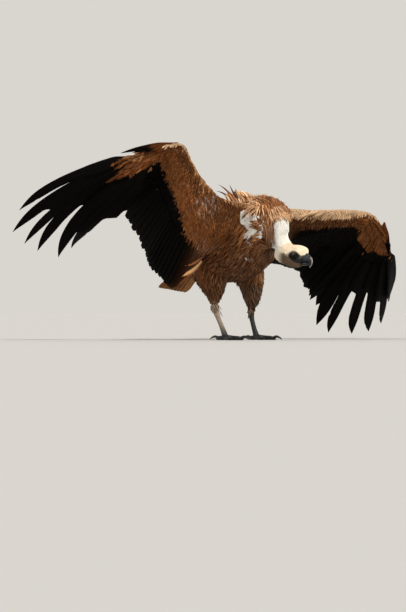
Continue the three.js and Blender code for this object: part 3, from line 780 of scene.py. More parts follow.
def remeshed(name, nodes, voxel, rounds, filler=None):
    """The solids of some nodes, with an ellipsoid for a filler, as one smooth closed form."""
    deselect()
    mesh = bpy.data.meshes.new(name)
    shape = bmesh.new()
    for node in nodes:
        shape.from_mesh(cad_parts[node].data)
    if filler:
        made = bmesh.ops.create_icosphere(shape, subdivisions=4, radius=1.0)["verts"]
        for v in made:
            v.co = Vector(to_row(vec(*filler[0]) + vec(*v.co) * vec(*filler[1])))
    bmesh.ops.remove_doubles(shape, verts=shape.verts, dist=1e-6)
    shape.to_mesh(mesh)
    shape.free()
    piece = bpy.data.objects.new(name, mesh)
    bpy.context.scene.collection.objects.link(piece)
    modify(piece, "DISPLACE", strength=OVERLAP * MM, mid_level=0.0)
    modify(piece, "REMESH", mode="VOXEL", voxel_size=voxel * MM)
    modify(piece, "SMOOTH", factor=0.5, iterations=rounds)
    return piece


def nearest_nodes(nodes, places):
    """The name of the solid nearest to each place."""
    corners, faces, owner = [], [], []
    for node in nodes:
        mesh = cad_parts[node].data
        start = len(corners)
        corners += [tuple(p) for p in from_row(points_of(mesh))]
        for polygon in mesh.polygons:
            faces.append([start + v for v in polygon.vertices])
            owner.append(node)
    tree = BVHTree.FromPolygons(corners, faces)
    return np.array([owner[tree.find_nearest(Vector(p))[2]] for p in places])


def averaged(mesh, values, rounds):
    """Values at the points of a mesh, averaged with those of their neighbours."""
    ends = np.empty(len(mesh.edges) * 2, int)
    mesh.edges.foreach_get("vertices", ends)
    a, b = ends.reshape(-1, 2).T
    count = np.bincount(a, minlength=len(values)) + np.bincount(b, minlength=len(values))
    for _ in range(rounds):
        total = np.bincount(a, values[b], len(values)) + np.bincount(b, values[a], len(values))
        values = 0.5 * values + 0.5 * total / np.maximum(count, 1)
    return values


def sink(piece, nodes, rounds):
    """Moves the surface in by the coat's depth."""
    mesh = piece.data
    places = from_row(points_of(mesh))
    depth = np.array([COAT_DEPTH[kind_of(node)] for node in nearest_nodes(nodes, places)], float)
    depth = averaged(mesh, depth, rounds) + OVERLAP
    set_points(mesh, to_row(places - normals_of(mesh) * depth[:, None]))


def head_relief(places, outward):
    """Carves the head: lids, brow, lores, the corner of the mouth, the ear and the folds of the nape."""
    ahead, above, left = in_head(places)
    side = np.sign(left)
    depth = np.abs(left)
    move = np.zeros(len(places))
    brow = np.hypot((ahead - 8) / 24, (above - 9.5 - 0.06 * ahead) / 4.5)
    move += 3.0 * (1 - rise(0.2, 1.2, brow)) * rise(10, 20, depth)
    lores = np.hypot((ahead - 22) / 11, (above + 3) / 8)
    move -= 2.2 * (1 - rise(0.1, 1.2, lores)) * rise(6, 16, depth)
    below = np.hypot((ahead - 2) / 18, (above + 13) / 5)
    move -= 1.4 * (1 - rise(0.1, 1.2, below)) * rise(12, 22, depth)
    jaw = np.hypot((ahead + 4) / 26, (above + 29) / 8)
    move += 1.6 * (1 - rise(0.1, 1.2, jaw)) * rise(8, 18, depth)
    mouth = above + 24.5 + 0.06 * (ahead - 30)
    move -= 1.7 * np.exp(-((mouth / 1.3) ** 2)) * rise(4, 16, ahead) * rise(3, 8, depth)
    ear = np.hypot((ahead + 34) / 5.5, (above + 13) / 7)
    ear_rim, ear_hole = 1.5 * np.exp(-(((ear - 1.1) / 0.3) ** 2)), 3.2 * (1 - rise(0.4, 1.0, ear))
    move += np.where(ear < 1.6, ear_rim - ear_hole, 0) * rise(10, 20, depth)
    move += 3.8 * rise(-24, 4, ahead) * rise(40, 28, ahead) * rise(10, 20, above)
    nape = rise(-50, -70, ahead)
    move += 0.6 * nape * np.sin(above / 1.1 + 1.5 * np.sin(left / 9))
    throat = rise(-14, -34, above) * rise(20, 0, ahead)
    move += 0.45 * throat * np.sin(ahead / 1.4 + np.sin(left / 7))
    moved = places + outward * move[:, None]
    ahead, above, left = in_head(moved)
    # The lids: inside the opening the skin dips behind the eyeball, and its rim stands just proud of it.
    slant = above - 0.12 * ahead
    opening = np.hypot(ahead / 7.4, slant / np.where(slant > 0, 6.0, 6.4))
    ball = EYE_OUT + np.sqrt(np.maximum(EYE_RADIUS**2 - ahead**2 - above**2, 0))
    rim = ball + np.where(slant > 0, 1.5, 1.0)
    depth = np.abs(left)
    target = np.where(opening < 0.93, 21.0, mix(depth, np.maximum(rim, depth), 1 - rise(1.25, 1.9, opening)))
    lid = (opening < 1.9) & (depth > 14)
    new_left = np.where(lid, target, depth) * side
    return moved + HEAD_LEFT * (new_left - left)[:, None]


def toe_frame(leg, name):
    """A toe's start, its heading and its length."""
    heading, length, *_ = TOES[name]
    turn = math.radians(heading)
    return leg["ball"], vec(leg["side"] * math.sin(turn), -math.cos(turn), 0), length


def foot_relief(places, outward):
    """Lays broad horny scutes over the tops of the toes, and pads below them."""
    move = np.zeros(len(places))
    for leg in LEGS.values():
        for name in TOES:
            ball, way, length = toe_frame(leg, name)
            along = (places - ball) @ way
            aside = np.linalg.norm((places - ball - along[:, None] * way)[:, :2], axis=1)
            on_toe = (along > 0.3 * length) & (along < length + 2) & (aside < 11) & (places[:, 2] < 26)
            step = (along / 5.2) % 1.0
            scute = 0.75 * (step**2) * rise(0.25, 0.7, outward[:, 2])
            pad = 0.7 * np.sin(along / 3.4) * rise(0.2, -0.4, outward[:, 2])
            move = np.where(on_toe, scute + pad * (places[:, 2] > 1.5), move)
    return places + outward * move[:, None]


def carve(piece, relief):
    mesh = piece.data
    set_points(mesh, to_row(relief(from_row(points_of(mesh)), normals_of(mesh))))


def refine_round(piece, middles, radius):
    """Splits the faces near some places, for finer relief there."""
    make_active(piece)
    mesh = piece.data
    centres = np.array([p.center for p in mesh.polygons])
    chosen = np.zeros(len(centres), bool)
    for middle in middles:
        chosen |= np.linalg.norm(centres - to_row(middle), axis=1) < radius * MM
    bpy.ops.object.mode_set(mode="EDIT")
    bpy.ops.mesh.select_all(action="DESELECT")
    bpy.ops.object.mode_set(mode="OBJECT")
    mesh.polygons.foreach_set("select", chosen)
    bpy.ops.object.mode_set(mode="EDIT")
    bpy.ops.mesh.select_mode(type="FACE")
    bpy.ops.mesh.subdivide(number_cuts=1, smoothness=0)
    bpy.ops.object.mode_set(mode="OBJECT")


def united(piece, others):
    """Joins closed forms into one by boolean union."""
    for other in others:
        modify(piece, "BOOLEAN", operation="UNION", object=other, solver="MANIFOLD")
        bpy.data.objects.remove(other)


def smooth_nape(piece):
    """Blends the neck into the head."""
    mesh = piece.data
    places = from_row(points_of(mesh))
    share = near(places, (3, -263, 345), (52, 52, 46)) * rise(-24, -44, in_head(places)[0])
    soft = np.column_stack([averaged(mesh, places[:, i], 90) for i in range(3)])
    set_points(mesh, to_row(mix(places, soft, share[:, None])))


def make_skin():
    """Body, head and legs, each remeshed as fine as it needs, joined into one."""
    body = remeshed("skin", BODY, voxel=5.4, rounds=6)
    sink(body, BODY, rounds=12)
    head = remeshed("head_skin", ["head", "eye_right", "eye_left"], voxel=1.45, rounds=9,
                    filler=((3, -263, 331), (33, 33, 31)))
    sink(head, ["head"], rounds=0)
    refine_round(head, [on_head(0, 0, side * 31) for side in (-1, 1)], 13)
    carve(head, head_relief)
    modify(head, "SMOOTH", factor=0.35, iterations=1)
    legs = [remeshed(f"{side}_leg", [f"shank_{side}", f"foot_{side}"], voxel=1.5, rounds=5) for side in LEGS]
    for leg in legs:
        sink(leg, BARE, rounds=0)
        carve(leg, foot_relief)
    united(body, [head, *legs])
    smooth_nape(body)
    return body


def unwrap(piece):
    """Gives the skin its bake map, on which the coat's patches lie too."""
    make_active(piece)
    bpy.ops.object.mode_set(mode="EDIT")
    bpy.ops.mesh.select_all(action="SELECT")
    bpy.ops.uv.smart_project(angle_limit=1.15, island_margin=0.001)
    bpy.ops.object.mode_set(mode="OBJECT")
    piece.data.uv_layers[0].name = "OFBake"


def dress_skin(piece):
    """Paints the skin, gives its legs their scales, and puts it in place of the flesh."""
    mesh = piece.data
    places = from_row(points_of(mesh))
    paint_points(piece, skin_paint(places, nearest_nodes(FLESH, places)))
    mesh.materials.clear()
    mesh.materials.append(skin_material())
    mesh.materials.append(scale_material())
    middles = from_row(np.array([p.center for p in mesh.polygons]))
    horny = np.isin(nearest_nodes(FLESH, middles), BARE)
    mesh.polygons.foreach_set("material_index", horny.astype(np.int32))
    make_active(piece)
    bpy.ops.object.shade_smooth()
    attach(piece, "root")
    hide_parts(*FLESH)


class Skin:
    """The skin's triangles, for finding places on it."""

    def __init__(self, piece):
        mesh = piece.data
        mesh.calc_loop_triangles()
        count = len(mesh.loop_triangles)
        self.corners, loops = np.empty(count * 3, int), np.empty(count * 3, int)
        mesh.loop_triangles.foreach_get("vertices", self.corners)
        mesh.loop_triangles.foreach_get("loops", loops)
        self.corners = self.corners.reshape(-1, 3)
        self.places, self.normals = from_row(points_of(mesh)), normals_of(mesh)
        maps = np.empty(len(mesh.loops) * 2)
        mesh.uv_layers["OFBake"].uv.foreach_get("vector", maps)
        self.maps = maps.reshape(-1, 2)[loops.reshape(-1, 3)]
        a, b, c = (self.places[self.corners[:, i]] for i in range(3))
        self.areas = np.linalg.norm(np.cross(b - a, c - a), axis=1) / 2
        self.regions = nearest_nodes(FLESH, (a + b + c) / 3)
        self.face_normals = [Vector(n) for n in unit(self.normals[self.corners].sum(axis=1))]
        self.tree = BVHTree.FromPolygons(self.places.tolist(), self.corners.tolist())

    def scattered(self, regions, spacing, keep=None):
        """Random places on some regions, none nearer to another than the spacing.

        It gives the places, their normals and their places on the skin's map.
        """
        chosen = np.flatnonzero(np.isin(self.regions, regions))
        spacing *= SPARSE
        count = int(self.areas[chosen].sum() / spacing**2 * 3.2)
        picked = chance.choice(chosen, count, p=self.areas[chosen] / self.areas[chosen].sum())
        share = chance.random((count, 2))
        share = np.where(share.sum(1, keepdims=True) > 1, 1 - share, share)
        share = np.column_stack([1 - share.sum(1), share])[:, :, None]
        places = (self.places[self.corners[picked]] * share).sum(1)
        normals = unit((self.normals[self.corners[picked]] * share).sum(1))
        maps = (self.maps[picked] * share).sum(1)
        if keep is not None:
            kept = keep(places)
            places, normals, maps = places[kept], normals[kept], maps[kept]
        taken, cells = [], {}
        for i, cell in enumerate(map(tuple, np.floor(places / spacing).astype(int))):
            if self.is_clear(places, places[i], cell, cells, spacing):
                cells.setdefault(cell, []).append(i)
                taken.append(i)
        return places[taken], normals[taken], maps[taken]

    @staticmethod
    def is_clear(places, place, cell, cells, spacing):
        """Whether none of the places taken so far, kept by their cells, is nearer than the spacing."""
        x, y, z = cell
        for i in (x - 1, x, x + 1):
            for j in (y - 1, y, y + 1):
                for k in (z - 1, z, z + 1):
                    for other in cells.get((i, j, k), ()):
                        away = places[other] - place
                        if away[0] ** 2 + away[1] ** 2 + away[2] ** 2 < spacing**2:
                            return False
        return True

    def map_places(self, places):
        """The places on the skin's own map nearest to some places."""
        return np.array([self.maps[self.tree.find_nearest(Vector(p))[2]].mean(0) for p in places])


# ---- the lie of the coat ----

class Lie:
    """The direction in which the coat lies, from guide strokes over the whole body."""

    def __init__(self):
        self.guides = []
        self.add_body()
        self.add_head()
        for wing in WINGS.values():
            self.add_wing(wing)
        for leg in LEGS.values():
            self.add_limb(leg["thigh"], 45, 1)
            self.add_limb(leg["shank"], 12, 1)
        self.tree = tree_of([place for place, _ in self.guides])

    def add_body(self):
        for along in range(-110, 440, 22):
            drop, wide, high, low = through(TRUNK, along)
            middle = SHOULDERS + BACKWARD * along - DORSAL * drop
            sag = 0.5 * float(rise(60, -100, along))
            for p in oval(middle, LEFT, DORSAL, wide, high, low, 16):
                below = float(rise(40, -60, (p - middle) @ DORSAL))
                self.guides.append((p, unit(BACKWARD - UP * sag * below)))
        for at in steps(0, 4, 12):
            middle, ahead = through(RUFF, at), unit(through(RUFF, at + 0.02) - through(RUFF, at - 0.02))
            for p in oval(middle, LEFT, np.cross(ahead, LEFT), 68, 64, 64, 14):
                aside, below = rise(10, 60, abs(p[0] - middle[0])), rise(0, -50, p[2] - middle[2])
                self.guides.append((p, unit(ahead - UP * (1.1 * float(aside) + 0.8 * float(below)))))
        self.add_limb(NECK[1:], 33, -1)

    def add_limb(self, keys, radius, way):
        """Strokes round a limb, towards its end if way is 1."""
        first, last = keys[0][0], keys[-1][0]
        for at in steps(first, last, 12):
            ahead = unit(through(keys, at + 0.02) - through(keys, at - 0.02))
            side = unit(np.cross(ahead, vec(0.3, 0.2, 0.9)))
            for p in oval(through(keys, at), side, np.cross(ahead, side), radius, radius, radius, 10):
                self.guides.append((p, ahead * way))

    def add_head(self):
        for ahead in range(-80, 45, 12):
            for p in oval(on_head(ahead, -10), HEAD_LEFT, CROWN, 32, 36, 42, 14):
                self.guides.append((p, unit(-FACING - CROWN * 0.25)))

    def add_wing(self, wing):
        for at in steps(0, FLIGHT_FEATHERS, 56):
            along, dorsal, _ = wing_axes(wing, at)
            bone, thin = through(ARM_DEPTH, at)
            for share in (-1.0, -0.6, -0.2, 0.2, 0.6, 1.0):
                place = on_wing(wing, at, share)
                for face in (-1, 1):
                    self.guides.append((place + dorsal * face * (thin + bone) / 2, along))

    def at(self, places):
        """The lie at some places: that of the nearest few strokes, the nearest counting most."""
        found = np.empty((len(places), 3))
        for i, place in enumerate(places):
            total = vec(0, 0, 0)
            for _, guide, away in self.tree.find_n(Vector(place), 6):
                total += self.guides[guide][1] / (away + 4.0) ** 2
            found[i] = total
        return unit(found)


# ---- vanes ----
# Half widths along a vane, as shares of its widest: [(share of its length, share of its width), ...].
ROUND_VANE = [(0, 0.3), (0.25, 0.8), (0.55, 1.0), (0.82, 0.82), (1, 0.12)]
LONG_VANE = [(0, 0.4), (0.3, 0.9), (0.55, 1.0), (0.8, 0.66), (1, 0.06)]
LANCE_VANE = [(0, 0.45), (0.25, 0.95), (0.5, 0.9), (0.78, 0.5), (1, 0.05)]
DOWN_VANE = [(0, 0.7), (0.5, 1.0), (1, 0.1)]


def outline(profile, count):
    """Places along a vane, and its width at each."""
    shares = np.array(steps(0, 1, count - 1))
    places, widths = zip(*profile)
    return shares, np.interp(shares, places, widths)


def combed(places, lie, normals, stray):
    """The lie as tangents of the skin, turned in locks and then one by one at random, in degrees."""
    flat = unit(lie - normals * (lie * normals).sum(1, keepdims=True))
    locks = 1.3 * stray * waves(places, 38, 17)
    turn = np.radians(locks + chance.normal(0, 0.7 * stray, len(flat)))[:, None]
    return flat * np.cos(turn) + np.cross(normals, flat) * np.sin(turn)


SHARP_TURN = 0.3  # where two normals of the skin have a smaller cosine, its edge lies between them


def walk(places, ways, lengths, lifts, loose, count, leaves=False):
    """Centre lines and normals of vanes that start at places and follow the skin, rising over it.

    loose is how far they carry straight on instead. Where the skin turns away at its edge, a vane that
    leaves it does so too.
    """
    centres, uprights = np.empty((len(places), count, 3)), np.empty((len(places), count, 3))
    find, normals_at = skin.tree.find_nearest, skin.face_normals
    shares = steps(0, 1, count - 1)
    for i in range(len(places)):
        place, way = Vector(places[i]), Vector(ways[i])
        step = lengths[i] / (count - 1)
        for k, share in enumerate(shares):
            spot, _, face, _ = find(place)
            if k == 0:
                start, first, straight, free_end = spot, normals_at[face], way, False
                normal = first
            free_end = free_end or (leaves and normals_at[face].dot(normal) < SHARP_TURN)
            spot, normal = (place, normal) if free_end else (spot, normals_at[face])
            height = lifts[i] * share**0.75
            glued = spot + normal * height
            if loose:
                free = start + straight * (step * k) + first * height * 1.4
                glued = glued.lerp(free, loose * share)
            centres[i, k], uprights[i, k] = glued, normal
            way = straight if free_end else (way - normal * way.dot(normal)).normalized()
            place = spot + way * step
    return centres, uprights


def vane_arrays(centres, uprights, halves, thick, camber, twist=0.0):
    """Points and faces of closed vanes.

    Each station has four points: a left edge, the ridge of the quill, a right edge and the underside.
    """
    count = centres.shape[1]
    ahead = unit(np.gradient(centres, axis=1))
    sides = unit(np.cross(ahead, uprights))
    normals = np.cross(sides, ahead)
    turn = np.broadcast_to(np.asarray(twist, float), (len(centres),))[:, None, None]
    sides, normals = (
        sides * np.cos(turn) + normals * np.sin(turn),
        normals * np.cos(turn) - sides * np.sin(turn),
    )
    wide = halves[:, :, None]
    drop = normals * camber * wide
    rings = np.stack([
        centres - sides * wide - drop, centres + normals * thick,
        centres + sides * wide - drop, centres - normals * thick,
    ], axis=2)
    faces = []
    for k in range(count - 1):
        for s in range(4):
            a, b = k * 4 + s, k * 4 + (s + 1) % 4
            faces.append((a, b, b + 4, a + 4))
    end = (count - 1) * 4
    faces += [(3, 2, 1, 0), (end, end + 1, end + 2, end + 3)]
    return rings.reshape(len(centres), -1, 3), np.array(faces)


def copied_faces(faces, points, count):
    """One form's faces, repeated for a count of forms that have as many points each."""
    return (faces[None] + points * np.arange(count)[:, None, None]).reshape(-1, 4)


BARB_SLANT = 1.1  # how far a barb runs on towards the tip for each millimetre that it runs outward
BARB_APART = 90.0  # how far apart in the noise the strands of two unlike vanes lie


def mark_vanes(mesh, ring, shares, halves, lengths, paints, variety, grain):
    """Gives the points of many vanes what the feather materials read, and returns their places on the vane.

    ring says how far across a vane each point of a station is. paint is the colour. quill is the place along
    and across the vane, and the vane's own tone, which differs by variety. barb is the place along a barb,
    and across it by grain, so that noise over it draws the barbs as fine strands.
    """
    across, along = np.tile(ring, len(shares))[None], np.repeat(shares, len(ring))[None]
    points = across.shape[1]
    tone = chance.normal(0, variety, len(lengths))[:, None]
    aside = across * np.repeat(halves, len(ring), axis=1)
    reach = along * lengths[:, None] + BARB_SLANT * np.abs(aside)
    colours = paints if paints.ndim == 3 else np.repeat(paints[:, None], points, axis=1)
    colours = np.concatenate([colours, np.ones((len(lengths), points, 1))], axis=2)
    add_attribute(mesh, "paint", "FLOAT_COLOR", colours)
    quill, barb = (along, across, tone), (reach, aside * grain, tone * BARB_APART)
    add_attribute(mesh, "quill", "FLOAT_VECTOR", np.stack(np.broadcast_arrays(*quill), axis=2))
    add_attribute(mesh, "barb", "FLOAT_VECTOR", np.stack(np.broadcast_arrays(*barb), axis=2))
    return across, along


def set_bake_map(mesh, maps, faces):
    """Puts each point of some faces at its place on the map that the materials are baked to."""
    corners = maps.reshape(-1, 2)[faces.ravel()].astype(np.float32)
    mesh.uv_layers.new(name="OFBake").uv.foreach_set("vector", corners.ravel())


COAT_RING = (-1.0, 0.0, 1.0, 0.0)
PATCH = 0.003  # how far across the bake map one feather's patch is


def finish_vanes(name, rings, faces, shares, halves, lengths, paints, maps, material):
    """Makes the piece of many vanes of one kind, each with its own patch of the bake map."""
    all_faces = copied_faces(faces, rings.shape[1], len(rings))
    piece = new_piece(name, rings.reshape(-1, 3), all_faces, material)
    across, along = mark_vanes(piece.data, COAT_RING, shares, halves, lengths, paints, 0.8, 0.12)
    patch = np.stack([across * 0.5, along - 0.5], axis=2) * PATCH
    set_bake_map(piece.data, maps[:, None] + patch, all_faces)


def coat(name, roots, flow, length, half, depth, paint, material, *, stray=8, loose=0.0,
         profile=ROUND_VANE, stations=5, thick=0.3, camber=0.12, sizes=None, mottle=0.0):
    """One piece of the coat: vanes that grow from roots on the skin, combed along the flow.

    length, half width and depth are one feather's, which sizes changes from place to place. stray is how far
    feathers turn from the flow, in degrees, and mottle how far their colours differ.
    """
    places, normals, maps = roots
    ways = combed(places, flow(places), normals, stray)
    scale = chance.uniform(0.82, 1.18, len(places))
    if sizes is not None:
        scale = scale * sizes(places)
    lengths, lifts = length * scale, depth * chance.uniform(0.8, 1.1, len(places)) * np.minimum(scale, 1)
    centres, uprights = walk(places, ways, lengths, lifts, loose, stations)
    shares, widths = outline(profile, stations)
    halves = half * scale[:, None] * widths[None]
    twist = chance.normal(0, 0.09, len(places))
    rings, faces = vane_arrays(centres, uprights, halves, thick, camber, twist)
    paints = paint(places)
    mottle = mottle * np.clip(paints.mean(axis=1) / 0.06, 0, 1)
    paints = tint(paints, "fawn", mottle * chance.random(len(places)) ** 3)
    paints = tint(paints, "umber", mottle * chance.random(len(places)) ** 2)
    finish_vanes(name, rings, faces, shares, halves, lengths, paints, maps, material)


# ---- flight feathers ----
VANE_TILT = 3.2  # degrees, so that each feather clears the one below it
STATIONS = 40
# Across a stiff vane, from its leading edge to its trailing one, and how far each line is bent up there.
RIDGES = (1.0, 0.5, 0.0, -0.45, -1.0)
BENT_UP = (-0.045, 0.0, 0.02, 0.0, -0.05)
FLIGHT_RING = (*RIDGES, *RIDGES[::-1])


def flight_vane(centres, leads, leading, trailing, thick, side):
    """A stiff vane: its two webs slope a little down from the quill, the leading one on the upper side."""
    ahead = unit(np.gradient(centres, axis=0))
    lead = unit(leads - ahead * (leads * ahead).sum(1, keepdims=True))
    up = unit(np.cross(lead, ahead)) * side
    tilt = math.radians(VANE_TILT)
    across = lead * math.cos(tilt) + up * math.sin(tilt)
    normal = up * math.cos(tilt) - lead * math.sin(tilt)
    top, under = [], []
    for share, bent in zip(RIDGES, BENT_UP):
        middle = centres + across * ((leading if share > 0 else trailing) * share)[:, None]
        top.append(middle + normal * (trailing * bent + thick / 2)[:, None])
        under.append(middle + normal * (trailing * bent - thick / 2)[:, None])
    return np.stack([*top, *under[::-1]], axis=1)


def ragged(widths, amount, splits):
    """Frays a web's edge a little, with a few splits where barbs have come apart."""
    frayed = widths * (1 - amount * chance.random(len(widths)))
    for _ in range(splits):
        frayed[chance.integers(8, len(widths) - 4)] *= 0.88
    return frayed


LAP = 1.12  # how far a closed web reaches, as a share of the gap to the next feather
BROADEST_WEB = 74


def primary_widths(wing, at, shares):
    """Leading and trailing widths: broad and closed up to the notch, then narrow to the finger's tip."""
    notch, finger = read_off(wing["notch"], at), read_off(wing["finger"], at)
    beyond = rise(notch - 0.05, notch + 0.03, shares)
    gaps = []
    for share in shares:
        inner = on_sheet(wing, min(at + 1, FLIGHT_FEATHERS), share) - on_sheet(wing, at, share)
        along, _, _ = wing_axes(wing, at)
        gaps.append(np.linalg.norm(inner - along * (inner @ along)))
    closed = np.maximum(np.minimum(np.array(gaps) * LAP + 6, BROADEST_WEB), finger)
    narrow = 14.5 + 8 * float(rise(4.5, 5.5, at))
    tip = np.sqrt(np.clip(1 - rise(0.72, 1.0, shares) ** 1.6, 0, 1))
    return mix(16, narrow, beyond) * tip, mix(closed, finger, beyond) * tip


def secondary_widths(at, shares):
    """Broad all the way, to a tip that slants to a point on its trailing side."""
    tertial = float(rise(20, 27, at))
    lead_tip = np.sqrt(np.clip(1 - rise(0.78, 1.03, shares) ** 1.6, 0, 1))
    trail_tip = np.sqrt(np.clip(1 - rise(0.86, 1.03, shares) ** 1.6, 0, 1))
    return (13 + 4 * tertial) * lead_tip, (29 + 6 * tertial) * trail_tip


def tube_faces(stations, around):
    """The faces of a closed tube of stations rings, its ends closed with a ladder of quads."""
    faces = []
    for k in range(stations - 1):
        for s in range(around):
            a, b = k * around + s, k * around + (s + 1) % around
            faces.append((a, b, b + around, a + around))
    end = (stations - 1) * around
    for s in range(around // 2 - 1):
        faces.append((s, around - 1 - s, around - 2 - s, s + 1))
        faces.append((end + s, end + s + 1, end + around - 2 - s, end + around - 1 - s))
    return np.array(faces)


def stiff_vanes(name, side, rings, shares, halves, lengths, paints, replaced):
    """Makes one piece of stiff vanes, each with its own strip of the bake map, in place of one solid."""
    count = len(rings)
    rings = np.array(rings).reshape(count, -1, 3)
    faces = tube_faces(len(shares), len(FLIGHT_RING))
    if side > 0:
        faces = faces[:, ::-1]
    all_faces = copied_faces(faces, rings.shape[1], count)
    piece = new_piece(name, rings.reshape(-1, 3), all_faces, FLIGHT)
    halves, lengths, paints = np.array(halves), np.array(lengths), np.array(paints)
    across, along = mark_vanes(piece.data, FLIGHT_RING, shares, halves, lengths, paints, 0.6, 0.1)
    strip = (np.arange(count)[:, None] + 0.5 + 0.45 * across) / count
    maps = np.stack(np.broadcast_arrays(strip, 0.01 + 0.98 * along), axis=2)
    set_bake_map(piece.data, maps, all_faces)
    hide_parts(replaced)


SECONDARY_STEP = 0.63  # the secondaries stand closer than the numbers by which places on the wing go


def flight_feathers(side_name, name, node, first, last):
    """One row of a wing's flight feathers, in place of its solid."""
    wing = WINGS[side_name]
    name, node = f"{name}_{side_name}", f"{node}_{side_name}"
    rings, halves, lengths, paints = [], [], [], []
    shares = np.array(steps(0.06, 1.0, STATIONS - 1))
    for at in np.arange(first, last - 0.9, 1.0 if first < PRIMARIES else SECONDARY_STEP):
        primary = at < PRIMARIES
        overrun = 1.0 if primary else chance.uniform(1.0, 1.04)
        centres = np.array([on_sheet(wing, at, share * overrun) for share in shares])
        leads = np.array([on_sheet(wing, max(at - 0.5, 0), s) - on_sheet(wing, at + 0.5, s) for s in shares])
        leading, trailing = primary_widths(wing, at, shares) if primary else secondary_widths(at, shares)
        covered = through(COVERED, at)[0]
        root = 0.15 + 0.85 * rise(0.3 * covered, 1.05 * covered, shares)  # slim where the coverts hide it
        leading, trailing = ragged(leading, 0.02, 0) * root, ragged(trailing, 0.03, 1) * root
        thick = np.interp(shares, [0, 0.5, 1], [1.2, 0.8, 0.5])
        edges = [np.maximum(leading, 0.4), np.maximum(trailing, 0.6)]
        rings.append(flight_vane(centres, leads, *edges, thick, wing["side"]))
        halves.append((leading + trailing) / 2)
        lengths.append(np.linalg.norm(np.diff(centres, axis=0), axis=1).sum())
        dark = COLOURS["black"] * (1 + 0.25 * chance.random())
        brown = mix(dark, COLOURS["umber"], 0.8 * float(rise(18.5, 21.5, at)))
        paints.append(mix(brown, COLOURS["dusky"], 0.8 * float(rise(19.5, 22, at)) * chance.random()))
    stiff_vanes(name, wing["side"], rings, shares, halves, lengths, paints, node)


class WingMap:
    """Finds how far out on the wing and how far back over it a place is."""

    def __init__(self, side_name):
        self.side_name = side_name
        self.samples = []
        wing = WINGS[side_name]
        for at in steps(0, FLIGHT_FEATHERS, 84):
            _, dorsal, _ = wing_axes(wing, at)
            for share in steps(-1, 1.1, 21):
                self.samples.append((on_wing(wing, at, share), at, share, dorsal))
        self.tree = tree_of([sample[0] for sample in self.samples])

    def read(self, places):
        found = [self.samples[self.tree.find(Vector(p))[1]] for p in places]
        ats, shares = np.array([f[1] for f in found]), np.array([f[2] for f in found])
        upper = np.array([(p - f[0]) @ f[3] > 0 for p, f in zip(places, found)])
        return ats, shares, upper

    def paint(self, places):
        """The colour where the tip of a feather that grows at each place lies."""
        ats, shares, upper = self.read(places)
        return wing_paint(places, self.side_name, ats, shares + 0.1, upper)

    def sizes(self, places):
        """Small feathers in front, larger ones towards the quills."""
        return read_off([(-1, 0.62), (-0.5, 0.85), (0.3, 1.1), (1, 1.25)], self.read(places)[1])


def row_of_coverts(name, side_name, face, rows):
    """Overlapping rows of coverts on one face of a wing's arm.

    Each row gives the feathers it runs between, how many lie over each of them, where they start and end,
    counted from where the brown coverts end, their half width, and how far the tips stand off.
    """
    wing = WINGS[side_name]
    parts = []
    for first, last, per, start, end, half, lift in rows:
        ats = np.array(steps(first, last, round((last - first) * per)))
        ats += chance.normal(0, 0.1 / per, len(ats))
        edges = np.ones(len(ats)) if face > 0 else read_off(wing["lining"], ats)
        starts, ends = edges + start, edges + end + chance.normal(0, 0.03, len(ats))
        outward = np.array([wing_axes(wing, at)[1] for at in ats]) * face
        roots = np.array([on_wing(wing, at, share) for at, share in zip(ats, starts)]) + outward * 7
        tips = np.array([on_wing(wing, at, share) for at, share in zip(ats, ends)]) + outward * 5
        lengths = np.linalg.norm(tips - roots, axis=1)
        ways = unit(tips - roots)
        centres, uprights = walk(roots, ways, lengths, np.full(len(ats), lift), 0.0, 6, leaves=True)
        shares, widths = outline(ROUND_VANE, 6)
        halves = half * chance.uniform(0.88, 1.12, len(ats))[:, None] * widths[None]
        rings, faces = vane_arrays(centres, uprights, halves, 0.3, 0.1, chance.normal(0, 0.05, len(ats)))
        colours = wing_paint(tips, side_name, ats, ends - 0.12, np.full(len(ats), face > 0))
        parts.append((rings, halves, lengths, colours, skin.map_places(roots)))
    rings, halves, lengths, colours, maps = (np.concatenate(part) for part in zip(*parts))
    finish_vanes(name, rings, faces, shares, halves, lengths, colours, maps, COVERT)


# ---- alula, tail and loose feathers ----

def long_vanes(name, side, lines, leads, leading, trailing, paints, replaced):
    """Separate stiff vanes along given lines."""
    shares = np.array(steps(0, 1, len(lines[0]) - 1))
    thick = np.full(len(shares), 0.8)
    rings = [
        flight_vane(np.array(line), leads, lead, trail, thick, side)
        for line, lead, trail in zip(lines, leading, trailing)
    ]
    halves = (np.array(leading) + trailing) / 2
    lengths = [np.linalg.norm(np.array(line[-1]) - line[0]) for line in lines]
    stiff_vanes(name, side, rings, shares, halves, lengths, paints, replaced)


